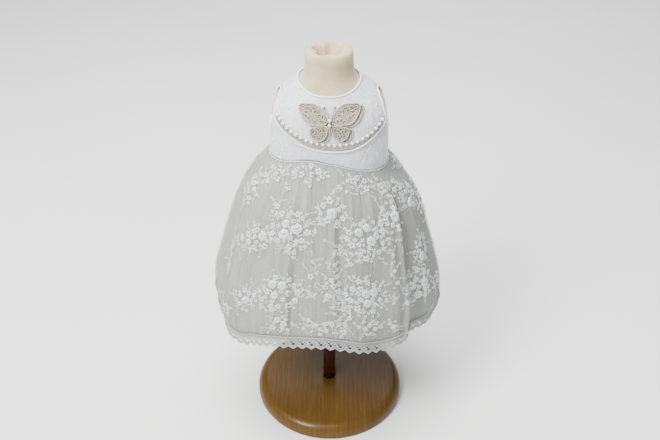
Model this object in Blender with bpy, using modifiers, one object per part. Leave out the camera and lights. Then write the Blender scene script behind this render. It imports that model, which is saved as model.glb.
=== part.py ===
"""Christening gown on a limbless dress form with a turned oak stand.

Lengths are metres, +Z is up, the gown's front faces -Y and the origin is the centre of the
stand's underside. Every cloth piece lies on one of two smooth guide surfaces: the dress form
(`on_form`) for the bodice, and the bell of the skirt (`on_bell`) for the gathered layers.
Angles run round the form from the front (0) towards +X.
"""

import math

import bmesh
import bpy
import numpy as np
from mathutils import Matrix, Vector

# Stand
BASE_RADIUS = 0.110
BASE_HEIGHT = 0.022
BASE_TOP_ROUND = 0.014
BASE_FOOT_ROUND = 0.004
POLE_RADIUS = 0.009
SOCKET_DEPTH = 0.010

# Dress form: rings from the flat seat up to the lip of the neck, and down into its tuck
FORM_SECTIONS = (
    # height, half_width, half_depth, squareness
    (0.2400, 0.0640, 0.0520, 2.2),
    (0.2480, 0.0705, 0.0575, 2.2),
    (0.2700, 0.0745, 0.0610, 2.3),
    (0.3400, 0.0740, 0.0615, 2.4),
    (0.4250, 0.0690, 0.0570, 2.5),
    (0.4680, 0.0705, 0.0560, 2.6),
    (0.4900, 0.0690, 0.0510, 2.6),
    (0.5010, 0.0635, 0.0460, 2.5),
    (0.5120, 0.0530, 0.0400, 2.3),
    (0.5220, 0.0400, 0.0350, 2.1),
    (0.5320, 0.0315, 0.0308, 2.0),
    (0.5420, 0.0293, 0.0293, 2.0),
    (0.5530, 0.0290, 0.0290, 2.0),
)
NECK_LIP = (
    # height, radius: the jersey rolled over the rim and tucked into the hole
    (0.5585, 0.0272),
    (0.5610, 0.0228),
    (0.5600, 0.0175),
    (0.5540, 0.0130),
    (0.5450, 0.0100),
)
FORM_COLUMNS = 56
CHEST_TOP = 0.5000
BODICE_HALF_WIDTH = 0.0705
BODICE_HALF_DEPTH = 0.0560

# Cloth
SEAM_GAP = 0.0003
BODY_GAP = 0.0009
LAY_GAP = 0.0005
BODICE_WALL = 0.0012
LAYER_WALL = 0.0010
BINDING_RADIUS = 0.0012
PIPING_RADIUS = 0.0011

# Bodice
NECK_FRONT = 0.5160
NECK_BACK = 0.5265
NECK_CURVE = 4
WAIST_LEVELS = (
    # degrees from the front towards the wearer's left, height of the seam
    (3, 0.4385),
    (14, 0.4335),
    (31, 0.4270),
    (50, 0.4225),
    (70, 0.4200),
    (90, 0.4195),
    (135, 0.4215),
    (180, 0.4235),
    (225, 0.4255),
    (270, 0.4285),
    (300, 0.4335),
    (325, 0.4390),
    (343, 0.4435),
    (353, 0.4430),
)
WAIST_EASE = 0.0032
EASE_TOP = 0.4720
EASE_BOTTOM = 0.4290
ARMHOLE_MIDDLE = 0.4870
ARMHOLE_HALF_HEIGHT = 0.0215
ARMHOLE_HALF_ANGLE = math.radians(24)
YOKE_LOW = 0.4557
YOKE_LOW_ANGLE = math.radians(5)
YOKE_RISE = 0.0410
YOKE_FLATTENING = 0.6
YOKE_SEAM_HALF = 0.0002
EDGE_CLEARANCE = 0.0030
NECK_OPENING_HALF_ANGLE = math.radians(1)
STRAP_ROWS = 3
PLACKET_WIDTH = 0.014
BUTTON_RADIUS = 0.0042
BUTTON_FLATNESS = 0.45
BUTTON_HEIGHTS = (0.512, 0.482, 0.450)

# Pearl trim along the yoke
PEARL_RADIUS = 0.0016
PEARL_PITCH = 0.0069
PEARL_STRING_RADIUS = 0.0005
PEARL_RISE = 0.0086
PEARL_END_ANGLE = math.radians(6)
PEARL_PROFILE = (
    # distance along the string and radius, both in pearl radii
    (-1.0, PEARL_STRING_RADIUS / PEARL_RADIUS),
    (-0.45, 0.95),
    (0.45, 0.95),
    (1.0, PEARL_STRING_RADIUS / PEARL_RADIUS),
)
BRAID_RISES = (0.0024, 0.0094)
BRAID_END_ANGLE = math.radians(4)

# Butterfly: two layers of four wings; outlines are reaches from each wing's middle
WING_MIDDLE_UPPER = (0.0190, 0.0080)
WING_MIDDLE_LOWER = (0.0125, -0.0125)
WING_UPPER = (
    # direction in degrees, reach
    (0, 0.0155),
    (25, 0.0126),
    (60, 0.0124),
    (90, 0.0125),
    (120, 0.0136),
    (144, 0.0174),
    (180, 0.0128),
    (225, 0.0106),
    (300, 0.0115),
    (342, 0.0175),
)
WING_LOWER = (
    # direction in degrees, reach
    (0, 0.0088),
    (45, 0.0120),
    (75, 0.0095),
    (118, 0.0088),
    (150, 0.0108),
    (180, 0.0093),
    (229, 0.0091),
    (270, 0.0093),
    (315, 0.0086),
)
WING_WALL = 0.0010
BUTTERFLY_HEIGHT = 0.4895
BUTTERFLY_SHIFT = 0.0005
WING_RINGS = 6
CHEST_SLOPE = 0.92
UNDERLAY_SHIFT = (0.0042, -0.0020)
BODY_RADIUS = 0.0010
BODY_RISES = (0.0030, -0.0100)
FEELER_RADIUS = 0.0006
FEELER_KNOB = 2.2
FEELER_TRACK = (
    # distance from the middle, rise
    (0.0009, 0.0036),
    (0.0026, 0.0105),
    (0.0046, 0.0150),
    (0.0060, 0.0172),
)
CENTRE_PEARL_RADIUS = 0.0019
CENTRE_PEARL_RISES = (0.0034, -0.0020)

# Skirt
SKIRT_LENGTH = 0.2500
HEM_LACE_HEIGHT = 0.0170
HEM_JOIN = 0.0009
TOOTH_HEIGHT = 0.0040
CORD_RADIUS = 0.0009
TEETH = 78
BELL_SECTIONS = (
    # drop from waist to hem (0-1), half_width, half_depth, squareness, sway
    (0.00, 0.0737, 0.0617, 2.5, 0.0000),
    (0.05, 0.0825, 0.0698, 2.4, -0.0006),
    (0.12, 0.0958, 0.0790, 2.3, -0.0006),
    (0.20, 0.1085, 0.0880, 2.2, -0.0010),
    (0.31, 0.1204, 0.0965, 2.15, -0.0018),
    (0.46, 0.1316, 0.1055, 2.1, -0.0030),
    (0.66, 0.1460, 0.1150, 2.1, -0.0042),
    (0.83, 0.1563, 0.1215, 2.05, -0.0052),
    (0.93, 0.1568, 0.1238, 2.0, -0.0050),
    (1.00, 0.1550, 0.1270, 2.0, -0.0048),
)
FOLDS = (
    # angle and spread in degrees, height out of the bell (- is a trough), drop where it starts
    (-172, 14, 0.0045, 0.050),
    (-154, 11, -0.0050, 0.025),
    (-137, 13, 0.0050, 0.075),
    (-118, 12, -0.0045, 0.100),
    (-101, 12, 0.0050, 0.025),
    (-84, 11, -0.0040, 0.050),
    (-70, 9, -0.0040, 0.150),
    (-54, 9, 0.0030, 0.100),
    (-41, 7, -0.0030, 0.150),
    (-27, 9, 0.0012, 0.050),
    (-13, 8, -0.0030, 0.200),
    (2, 8, 0.0008, 0.100),
    (18, 9, 0.0030, 0.050),
    (37, 9, 0.0040, 0.050),
    (53, 8, -0.0070, 0.120),
    (68, 8, 0.0010, 0.300),
    (84, 12, 0.0050, 0.050),
    (103, 13, -0.0045, 0.075),
    (121, 12, 0.0050, 0.025),
    (139, 13, -0.0050, 0.100),
    (157, 12, 0.0045, 0.050),
    (173, 8, -0.0035, 0.150),
)
FOLD_GROWTH = 0.45
HEM_LEVELS = (
    # degrees from the front towards the wearer's left, height of the lace's points
    (0, 0.1980),
    (9, 0.1925),
    (19, 0.1855),
    (29, 0.1800),
    (38, 0.1820),
    (47, 0.1815),
    (58, 0.1805),
    (70, 0.1820),
    (90, 0.1790),
    (120, 0.1800),
    (150, 0.1775),
    (180, 0.1800),
    (210, 0.1775),
    (240, 0.1805),
    (270, 0.1770),
    (290, 0.1755),
    (304, 0.1720),
    (314, 0.1695),
    (323, 0.1795),
    (332, 0.1895),
    (346, 0.1940),
)

LAYER_SPREAD = 1.0 / 3.0
TULLE_INSET = 0.0062
TULLE_FOLDS = 0.6
TULLE_END = 0.915
LINING_INSET = 0.0125
LINING_FOLDS = 0.4
LINING_END = 0.89
OUTER_COLUMNS = 84
INNER_COLUMNS = 48
GATHER_DROPS = (0.0, 0.03, 0.09, 0.18)
INNER_DROPS = (0.0, 0.043, 0.129, 0.28, 0.538, 0.796, 1.0)

COLLECTION = "christening_gown"


# ---------------------------------------------------------------- guide curves and surfaces

def smooth_step(value):
    """0 below 0, 1 above 1, with soft ends."""
    t = np.clip(value, 0.0, 1.0)
    return t * t * (3.0 - 2.0 * t)


def along(rows, column, value):
    """Read a column of a table at `value` of its first column, on a smooth curve."""
    table = np.array(rows)
    x, y = table[:, 0], table[:, column]
    slope = np.gradient(y, x)
    value = np.asarray(value, float)
    i = np.clip(np.searchsorted(x, value, side="right") - 1, 0, len(x) - 2)
    step = x[i + 1] - x[i]
    t = (value - x[i]) / step
    return (
        y[i] * (1 + 2 * t) * (1 - t) ** 2
        + slope[i] * step * t * (1 - t) ** 2
        + y[i + 1] * t * t * (3 - 2 * t)
        - slope[i + 1] * step * t * t * (1 - t)
    )


def oval(angle, half_width, half_depth, squareness):
    """Point of a rounded oval ring, seen from above, at an angle from the front."""
    power = 2.0 / squareness
    s, c = np.sin(angle), np.cos(angle)
    x = half_width * np.sign(s) * np.abs(s) ** power
    y = -half_depth * np.sign(c) * np.abs(c) ** power
    return x, y


def form_ring(angle, height):
    """Point of the dress form's skin."""
    x, y = oval(angle, *(along(FORM_SECTIONS, k, height) for k in (1, 2, 3)))
    return np.stack(np.broadcast_arrays(x, y, height), -1)


def lifted(surface, angle, other, lift):
    """Point of a guide surface, moved out along its normal by `lift`."""
    turn, slide = 1e-3, 1e-4
    here = surface(angle, other)
    across = surface(angle + turn, other) - surface(angle - turn, other)
    upward = surface(angle, other + slide) - surface(angle, other - slide)
    normal = np.cross(across, upward)
    normal /= np.linalg.norm(normal, axis=-1, keepdims=True)
    return here + normal * np.asarray(lift)[..., None]


def on_form(angle, height, lift):
    """Point above the dress form's skin."""
    return lifted(form_ring, np.asarray(angle, float), np.asarray(height, float), lift)


def ease(height):
    """Gap between the form and the bodice's inner face, widest at the waist."""
    return BODY_GAP + WAIST_EASE * smooth_step((EASE_TOP - height) / (EASE_TOP - EASE_BOTTOM))


def on_bodice(angle, height, lift):
    """Point above the bodice's outer face."""
    return on_form(angle, height, ease(height) + BODICE_WALL + lift)


def read_round(rows, angle):
    """Read the second column of a table whose first runs round in degrees, on a closed curve."""
    table = np.array(rows, float)
    closed = np.concatenate([table[-2:] - (360, 0), table, table[:2] + (360, 0)])
    return along(closed, 1, np.degrees(angle) % 360)


def waist(angle):
    """Height of the waist seam, high left of the middle in front and low on the right."""
    return read_round(WAIST_LEVELS, angle)


def turned_from(angle, middle):
    """Angle from `middle`, wrapped to -180..180 degrees."""
    return (angle - middle + math.pi) % (2 * math.pi) - math.pi


def hem(angle):
    """Height of the points of the hem lace."""
    return read_round(HEM_LEVELS, angle)


def smooth_bell(angle, drop):
    """Point of the skirt's bell without its folds; drop is 0 at the waist and 1 at the hem."""
    columns = [along(BELL_SECTIONS, k, drop) for k in (1, 2, 3, 4)]
    x, y = oval(angle, *columns[:3])
    z = waist(angle) + (hem(angle) - waist(angle)) * drop
    return np.stack(np.broadcast_arrays(x + columns[3], y, z), -1)


def fold_height(angle, drop):
    """How far the folds stand out of the bell."""
    total = np.zeros(np.broadcast(angle, drop).shape)
    for middle, spread, height, start in FOLDS:
        away = turned_from(angle, math.radians(middle)) / math.radians(spread)
        reach = smooth_step((drop - start) / FOLD_GROWTH)
        total = total + height * np.exp(-2.0 * away * away) * reach
    return total


def on_bell(angle, drop, inset, fold_share=1.0):
    """Point of a skirt layer `inset` inside the outer one, with a share of its folds."""
    angle, drop = np.asarray(angle, float), np.asarray(drop, float)
    lift = -(fold_share * fold_height(angle, drop) - inset)
    return lifted(smooth_bell, angle, drop, lift)


def neckline(angle):
    """Height of the neckline."""
    return NECK_BACK - (NECK_BACK - NECK_FRONT) * ((1 + np.cos(angle)) / 2) ** NECK_CURVE


def yoke_seam(angle):
    """Height of the curved seam between yoke and midriff."""
    away = (angle - YOKE_LOW_ANGLE) ** 2
    return YOKE_LOW + YOKE_RISE * away / (1 + YOKE_FLATTENING * away)


def down(angle, height, distance):
    """Height reached by going down the form's skin by a distance."""
    step = 1e-4
    rise = form_ring(angle, height + step) - form_ring(angle, height - step)
    return height - distance * 2 * step / np.linalg.norm(rise, axis=-1)


def armhole(side, turn, grow, back=False):
    """(angle, height) on the armhole's edge; turn runs from the underarm up to the shoulder."""
    reach = ARMHOLE_HALF_ANGLE + grow / BODICE_HALF_WIDTH
    bulge = reach * np.cos(turn) * (1 if back else -1)
    height = ARMHOLE_MIDDLE + (ARMHOLE_HALF_HEIGHT + grow) * np.sin(turn)
    return side * (math.pi / 2 + bulge), height


# ------------------------------------------------------------------------- building pieces

def new_material(name, colour, roughness):
    """Plain material of a piece."""
    material = bpy.data.materials.new(name)
    material.use_nodes = True
    shader = material.node_tree.nodes["Principled BSDF"]
    shader.inputs["Base Color"].default_value = (*colour, 1.0)
    shader.inputs["Roughness"].default_value = roughness
    shader.inputs["Metallic"].default_value = 0.0
    return material


def add_object(name, data, finish):
    """Link a mesh or curve as a named piece with its own material."""
    piece = bpy.data.objects.new(name, data)
    data.materials.append(new_material(name, *finish))
    bpy.data.collections[COLLECTION].objects.link(piece)
    return piece


def grid_mesh(name, points, closed):
    """Open sheet of quads over a grid of points; closed joins the last column to the first."""
    rows, columns = points.shape[:2]
    bm = bmesh.new()
    verts = [[bm.verts.new(points[r, c]) for c in range(columns)] for r in range(rows)]
    for r in range(rows - 1):
        for c in range(columns if closed else columns - 1):
            right = (c + 1) % columns
            corners = (verts[r][c], verts[r][right], verts[r + 1][right], verts[r + 1][c])
            bm.faces.new(corners)
    mesh = bpy.data.meshes.new(name)
    bm.to_mesh(mesh)
    bm.free()
    mesh.shade_smooth()
    return mesh


def cloth(name, points, thickness, finish, closed=False):
    """Cloth wall: the grid is its outer face, with rows running upwards."""
    piece = add_object(name, grid_mesh(name, points, closed), finish)
    wall = piece.modifiers.new("wall", "SOLIDIFY")
    wall.thickness = thickness
    wall.offset = -1.0
    wall.use_even_offset = True
    wall.use_rim = True
    return piece


def tube(name, points, radius, finish, closed=False, swell=None, resolution=1):
    """Round cord through points; swell scales its radius at each point."""
    curve = bpy.data.curves.new(name, "CURVE")
    curve.dimensions = "3D"
    curve.bevel_depth = radius
    curve.bevel_resolution = resolution
    curve.use_fill_caps = True
    spline = curve.splines.new("POLY")
    spline.points.add(len(points) - 1)
    for k, point in enumerate(points):
        spline.points[k].co = (*point, 1.0)
        spline.points[k].radius = 1.0 if swell is None else swell[k]
    spline.use_cyclic_u = closed
    return add_object(name, curve, finish)


def turned(name, profile, steps, finish):
    """Solid of revolution about Z from (radius, height) points running down its outside."""
    mesh = bpy.data.meshes.new(name)
    verts = [(radius, 0.0, height) for radius, height in profile]
    mesh.from_pydata(verts, [(k, k + 1) for k in range(len(verts) - 1)], [])
    piece = add_object(name, mesh, finish)
    spin = piece.modifiers.new("spin", "SCREW")
    spin.steps = steps
    spin.render_steps = steps
    spin.use_merge_vertices = True
    spin.merge_threshold = 0.00005
    spin.use_smooth_shade = True
    return piece


def arc(centre, radius, start, end, count):
    """(radius, height) points along an arc, angles in degrees."""
    turns = np.radians(np.linspace(start, end, count))
    return [(centre[0] + radius * math.cos(t), centre[1] + radius * math.sin(t)) for t in turns]


def coons(bottom, top, left, right):
    """Fill a panel from its four edges, given as (angle, height) rows that share corners."""
    bottom, top, left, right = (np.array(edge) for edge in (bottom, top, left, right))
    u = np.linspace(0, 1, len(bottom))[None, :, None]
    v = np.linspace(0, 1, len(left))[:, None, None]
    ruled = (1 - v) * bottom[None] + v * top[None] + (1 - u) * left[:, None] + u * right[:, None]
    corners = (
        (1 - u) * (1 - v) * bottom[0]
        + u * (1 - v) * bottom[-1]
        + (1 - u) * v * top[0]
        + u * v * top[-1]
    )
    return ruled - corners


def panel(name, plan, finish):
    """Bodice panel from its (angle, height) plan."""
    angle, height = plan[..., 0], plan[..., 1]
    return cloth(name, on_bodice(angle, height, np.zeros_like(angle)), BODICE_WALL, finish)


# ------------------------------------------------------------------------------ the stand

def make_stand(oak, pole_wood):
    """Turned base with a blind socket, and the pole that stands in it."""
    foot = BASE_FOOT_ROUND
    top = BASE_TOP_ROUND
    socket = POLE_RADIUS + SEAM_GAP
    profile = [(0.0, BASE_HEIGHT - SOCKET_DEPTH), (socket, BASE_HEIGHT - SOCKET_DEPTH)]
    profile.append((socket, BASE_HEIGHT))
    profile += arc((BASE_RADIUS - top, BASE_HEIGHT - top), top, 90, 0, 8)
    profile += arc((BASE_RADIUS - foot, foot), foot, 0, -90, 4)
    profile.append((0.0, 0.0))
    turned("stand_base", profile, 48, oak)

    low = BASE_HEIGHT - SOCKET_DEPTH + SEAM_GAP
    high = FORM_SECTIONS[0][0] - SEAM_GAP
    mesh = bpy.data.meshes.new("stand_pole")
    bm = bmesh.new()
    bmesh.ops.create_cone(
        bm, cap_ends=True, segments=24, radius1=POLE_RADIUS, radius2=POLE_RADIUS, depth=high - low
    )
    bm.to_mesh(mesh)
    bm.free()
    pole = add_object("stand_pole", mesh, pole_wood)
    pole.location.z = (low + high) / 2


def make_form(jersey):
    """Limbless torso with a short neck and a tucked hole in its top."""
    heights = np.concatenate([
        [row[0] for row in FORM_SECTIONS[:2]],
        np.linspace(FORM_SECTIONS[2][0], FORM_SECTIONS[4][0], 4),
        np.linspace(FORM_SECTIONS[4][0], CHEST_TOP, 7)[1:],
        np.linspace(CHEST_TOP, FORM_SECTIONS[-2][0], 11)[1:],
        [FORM_SECTIONS[-1][0]],
    ])
    angles = np.linspace(-math.pi, math.pi, FORM_COLUMNS, endpoint=False)
    rings = [form_ring(angles, np.full_like(angles, height)) for height in heights]
    for height, radius in NECK_LIP:
        x, y = oval(angles, radius, radius, 2.0)
        rings.append(np.stack([x, y, np.full_like(x, height)], -1))
    mesh = grid_mesh("form_torso", np.array(rings), True)
    bm = bmesh.new()
    bm.from_mesh(mesh)
    edges = [edge for edge in bm.edges if edge.is_boundary]
    bmesh.ops.holes_fill(bm, edges=edges, sides=0)
    bmesh.ops.recalc_face_normals(bm, faces=bm.faces)
    bm.to_mesh(mesh)
    bm.free()
    add_object("form_torso", mesh, jersey)


# ----------------------------------------------------------------------------- the bodice

def meeting_turn(offset):
    """Turn on the front of the armhole that lies `offset` above the yoke seam, on each side."""
    turns = np.linspace(-math.pi / 2, math.pi / 2, 4001)
    found = []
    for side in (-1, 1):
        angle, height = armhole(side, turns, EDGE_CLEARANCE)
        found.append(turns[np.argmin(np.abs(height - yoke_seam(angle) - offset))])
    return found


def armhole_edge(side, start, end, count, back=False):
    """Rows of (angle, height) along the panel's edge at the armhole."""
    turns = np.linspace(start, end, count)
    angle, height = armhole(side, turns, EDGE_CLEARANCE, back)
    limit = seam_angle(back)
    magnitude = np.maximum(np.abs(angle), limit) if back else np.minimum(np.abs(angle), limit)
    return np.stack([side * magnitude, height], -1)


def seam_angle(back):
    """Angle of a panel's edge at the side and shoulder seams."""
    half = SEAM_GAP / BODICE_HALF_WIDTH
    return math.pi / 2 + (half if back else -half)


def neck_edge(angles):
    """Rows of (angle, height) along the panels' edge at the neck."""
    distance = BINDING_RADIUS + 3 * SEAM_GAP
    return np.stack([angles, down(angles, neckline(angles), distance)], -1)


def top_edge(angles, back=False):
    """Rows up the shoulder seam from the armhole, along the neck and, in front, down again."""
    edge = neck_edge(angles)
    tip = ARMHOLE_MIDDLE + ARMHOLE_HALF_HEIGHT + EDGE_CLEARANCE
    rows = [shoulder_edge(edge[0], tip), edge]
    if not back:
        rows.append(shoulder_edge(edge[-1], tip)[::-1])
    return np.concatenate(rows)


def shoulder_edge(neck_corner, tip):
    """Rows from the armhole's top up the shoulder seam, short of the corner at the neck."""
    heights = np.linspace(tip, neck_corner[1], STRAP_ROWS + 1)[:-1]
    return np.stack([np.full(STRAP_ROWS, neck_corner[0]), heights], -1)


def waist_edge(angles):
    """Rows along the bodice's lower edge, just above the waist seam."""
    return np.stack([angles, waist(angles) + 2 * SEAM_GAP], -1)


def make_front(satin_lace):
    """Front yoke and midriff, parted by the curved seam."""
    arm_rows, columns = 8, 21
    limit = seam_angle(False)
    low_left, low_right = meeting_turn(YOKE_SEAM_HALF)
    left = armhole_edge(-1, low_left, math.pi / 2, arm_rows)
    right = armhole_edge(1, low_right, math.pi / 2, arm_rows)
    seam_angles = np.linspace(left[0, 0], right[0, 0], columns)
    bottom = np.stack([seam_angles, yoke_seam(seam_angles) + YOKE_SEAM_HALF], -1)
    bottom[0], bottom[-1] = left[0], right[0]
    top = top_edge(np.linspace(-limit, limit, columns - 2 * STRAP_ROWS))
    panel("front_yoke", coons(bottom, top, left, right), satin_lace)

    under_rows, side_rows = 4, 4
    turn_left, turn_right = meeting_turn(-YOKE_SEAM_HALF)
    under_left = armhole_edge(-1, -math.pi / 2, turn_left, under_rows)
    under_right = armhole_edge(1, turn_right, -math.pi / 2, under_rows)
    seam = np.stack([seam_angles, yoke_seam(seam_angles) - YOKE_SEAM_HALF], -1)[1:-1]
    top = np.concatenate([under_left, seam, under_right])
    bottom = waist_edge(np.linspace(-limit, limit, len(top)))
    left = np.linspace(bottom[0], top[0], side_rows)
    right = np.linspace(bottom[-1], top[-1], side_rows)
    panel("front_midriff", coons(bottom, top, left, right), satin_lace)


def make_back(side, name, satin_lace):
    """Back panel from the side seam to the centre-back opening."""
    arm_rows, side_rows, columns = 9, 4, 12
    edge = seam_angle(True)
    centre = math.pi - SEAM_GAP / BODICE_HALF_DEPTH
    bottom = waist_edge(side * np.linspace(edge, centre, columns))
    top = top_edge(side * np.linspace(edge, centre, columns - STRAP_ROWS), back=True)
    arm = armhole_edge(side, -math.pi / 2, math.pi / 2, arm_rows, back=True)
    outer = np.concatenate([np.linspace(bottom[0], arm[0], side_rows)[:-1], arm])
    outer[-1] = top[0]
    inner = np.linspace(bottom[-1], top[-1], len(outer))
    if side > 0:
        plan = coons(bottom, top, outer, inner)
    else:
        plan = coons(bottom[::-1], top[::-1], inner, outer)
    panel(name, plan, satin_lace)


def make_bindings(binding):
    """Rolled bindings of the neck and both armholes, clear of the form's skin."""
    clear = BINDING_RADIUS + BODY_GAP
    opening = NECK_OPENING_HALF_ANGLE
    angles = np.linspace(-math.pi + opening, math.pi - opening, 41)
    path = on_form(angles, neckline(angles), np.full_like(angles, clear))
    tube("neck_binding", path, BINDING_RADIUS, binding)
    for side, name in ((-1, "armhole_binding_right"), (1, "armhole_binding_left")):
        turns = np.linspace(0, 2 * math.pi, 28, endpoint=False)
        angle = side * (math.pi / 2 - ARMHOLE_HALF_ANGLE * np.cos(turns))
        height = ARMHOLE_MIDDLE + ARMHOLE_HALF_HEIGHT * np.sin(turns)
        path = on_form(angle, height, np.full_like(angle, clear))
        tube(name, path, BINDING_RADIUS, binding, closed=True)


def yoke_span(margin):
    """First and last angle of what lies along the yoke seam."""
    left, right = meeting_turn(0.0)
    first = armhole(-1, left, EDGE_CLEARANCE)[0] + margin
    last = armhole(1, right, EDGE_CLEARANCE)[0] - margin
    return first, last


def make_piping(satin):
    """White piping over the yoke seam."""
    margin = (PIPING_RADIUS + BINDING_RADIUS) / BODICE_HALF_WIDTH
    angles = np.linspace(*yoke_span(margin), 29)
    lift = np.full_like(angles, PIPING_RADIUS + LAY_GAP)
    tube("yoke_piping", on_bodice(angles, yoke_seam(angles), lift), PIPING_RADIUS, satin)


def make_pearl_trim(pearl):
    """String of pearls on the yoke, just above the piping."""
    first, last = yoke_span(PEARL_END_ANGLE)
    fine = np.linspace(first, last, 400)
    lift = np.full_like(fine, LAYER_WALL + 2 * LAY_GAP + PEARL_RADIUS)
    track = on_bodice(fine, yoke_seam(fine) + PEARL_RISE, lift)
    travelled = np.concatenate([[0], np.cumsum(np.linalg.norm(np.diff(track, axis=0), axis=1))])
    count = int(travelled[-1] / PEARL_PITCH)
    start = (travelled[-1] - count * PEARL_PITCH) / 2
    bead, girth = np.array(PEARL_PROFILE).T
    stations, swell = [], []
    for k in range(count + 1):
        stations += list(start + k * PEARL_PITCH + bead * PEARL_RADIUS)
        swell += list(girth)
    path = np.stack([np.interp(stations, travelled, track[:, axis]) for axis in range(3)], -1)
    tube("pearl_trim", path, PEARL_RADIUS, pearl, swell=swell)


def make_braid(ivory):
    """Flat looped braid between the piping and the pearls."""
    angles = np.linspace(*yoke_span(BRAID_END_ANGLE), 27)
    rise, angle = np.meshgrid(BRAID_RISES, angles, indexing="ij")
    lift = np.full_like(angle, LAY_GAP + LAYER_WALL)
    cloth("pearl_trim_braid", on_bodice(angle, yoke_seam(angle) + rise, lift), LAYER_WALL, ivory)


def angle_across(x, height):
    """Angle from the front at which the form's skin lies `x` off the middle plane."""
    share = x / along(FORM_SECTIONS, 1, height)
    power = along(FORM_SECTIONS, 3, height) / 2.0
    return np.arcsin(np.sign(share) * np.abs(share) ** power)


def chest_point(x, rise, lift):
    """Point on the front yoke from distances across and up from the butterfly's middle."""
    height = BUTTERFLY_HEIGHT + rise * CHEST_SLOPE
    return on_bodice(angle_across(x + BUTTERFLY_SHIFT, height), height, lift)


def make_wing(name, rows, middle, side, shift, lift, finish):
    """One wing: a disc whose rim follows the outline, laid on the yoke."""
    steps = np.linspace(-1, 1, WING_RINGS)
    u, v = np.meshgrid(steps, steps)
    x, y = u * np.sqrt(1 - v * v / 2), v * np.sqrt(1 - u * u / 2)
    radius, direction = np.hypot(x, y), np.arctan2(y, -x if side > 0 else x)
    reach = read_round(rows, direction) * radius
    across = side * middle[0] + shift[0] + reach * np.where(radius > 0, x / (radius + 1e-9), 0)
    rise = middle[1] + shift[1] + reach * np.where(radius > 0, y / (radius + 1e-9), 0)
    points = chest_point(across, rise, np.full_like(across, lift + WING_WALL))
    cloth(name, points, WING_WALL, finish)


def make_ball(name, seat, above, radius, flatness, finish):
    """Ball, or a flattened one, that rests on `seat` and faces the point `above` it."""
    mesh = bpy.data.meshes.new(name)
    bm = bmesh.new()
    bmesh.ops.create_uvsphere(bm, u_segments=12, v_segments=8, radius=radius)
    bmesh.ops.scale(bm, vec=(1, 1, flatness), verts=bm.verts)
    bmesh.ops.translate(bm, vec=(0, 0, radius * flatness), verts=bm.verts)
    bm.to_mesh(mesh)
    bm.free()
    mesh.shade_smooth()
    ball = add_object(name, mesh, finish)
    outward = Vector(above - seat).normalized()
    turn = outward.to_track_quat("Z", "Y").to_matrix().to_4x4()
    ball.matrix_world = Matrix.Translation(Vector(seat)) @ turn


def make_butterfly(lace, pearl):
    """Corded lace butterfly of two layers, with a body, a pair of feelers and two pearls."""
    under = LAY_GAP
    upper = under + WING_WALL + LAY_GAP
    for side, hand in ((-1, "right"), (1, "left")):
        for layer, shift, lift in (("under", UNDERLAY_SHIFT, under), ("top", (0, 0), upper)):
            gap = side * SEAM_GAP
            placed = (shift[0] + gap, shift[1])
            lower_placed = (placed[0], placed[1] - SEAM_GAP)
            make_wing(f"butterfly_{layer}_forewing_{hand}", WING_UPPER, WING_MIDDLE_UPPER, side,
                      placed, lift, lace)
            make_wing(f"butterfly_{layer}_hindwing_{hand}", WING_LOWER, WING_MIDDLE_LOWER, side,
                      lower_placed, lift, lace)
    rises = np.linspace(*BODY_RISES, 7)
    lift = np.full_like(rises, upper + BODY_RADIUS)
    path = chest_point(np.zeros_like(rises), rises, lift)
    tube("butterfly_body", path, BODY_RADIUS, lace, swell=(0.5, 0.9, 1, 1, 1, 0.9, 0.5))
    track = np.array(FEELER_TRACK)
    for side, hand in ((-1, "right"), (1, "left")):
        lift = np.full(len(track), upper + FEELER_RADIUS * FEELER_KNOB)
        path = chest_point(side * track[:, 0], track[:, 1], lift)
        tube(f"butterfly_feeler_{hand}", path, FEELER_RADIUS, lace, swell=(1, 1, 1, FEELER_KNOB))
    for number, rise in enumerate(CENTRE_PEARL_RISES, start=1):
        seat_lift = upper + 2 * BODY_RADIUS + SEAM_GAP
        seat = chest_point(np.array(0.0), np.array(rise), seat_lift)
        above = chest_point(np.array(0.0), np.array(rise), seat_lift + CENTRE_PEARL_RADIUS)
        make_ball(f"butterfly_pearl_{number}", seat, above, CENTRE_PEARL_RADIUS, 1.0, pearl)


# ------------------------------------------------------------------------------ the skirt

def skirt_layer(name, columns, drops, inset_top, inset_hem, fold_share, finish):
    """One gathered layer, from the waist seam to its own hem."""
    angles = np.linspace(-math.pi, math.pi, columns, endpoint=False)
    drop, angle = np.meshgrid(drops[::-1], angles, indexing="ij")
    inset = inset_top + (inset_hem - inset_top) * smooth_step(drop / LAYER_SPREAD)
    points = on_bell(angle, drop, inset, fold_share)
    return cloth(name, points, LAYER_WALL, finish, closed=True)


def make_skirt(tulle, lining):
    """Embroidered tulle over plain tulle over a lining, all gathered into the waist."""
    step = LAYER_WALL + SEAM_GAP
    outer_end = 1.0 - HEM_LACE_HEIGHT / SKIRT_LENGTH
    outer = np.concatenate([GATHER_DROPS, np.linspace(0.32, outer_end, 5)])
    inner = np.array(INNER_DROPS)
    skirt_layer("skirt_embroidered", OUTER_COLUMNS, outer, 0.0, 0.0, 1.0, tulle)
    skirt_layer("skirt_tulle", INNER_COLUMNS, inner * TULLE_END, step, TULLE_INSET,
                TULLE_FOLDS, tulle)
    skirt_layer("skirt_lining", INNER_COLUMNS, inner * LINING_END, 2 * step, LINING_INSET,
                LINING_FOLDS, lining)


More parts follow.
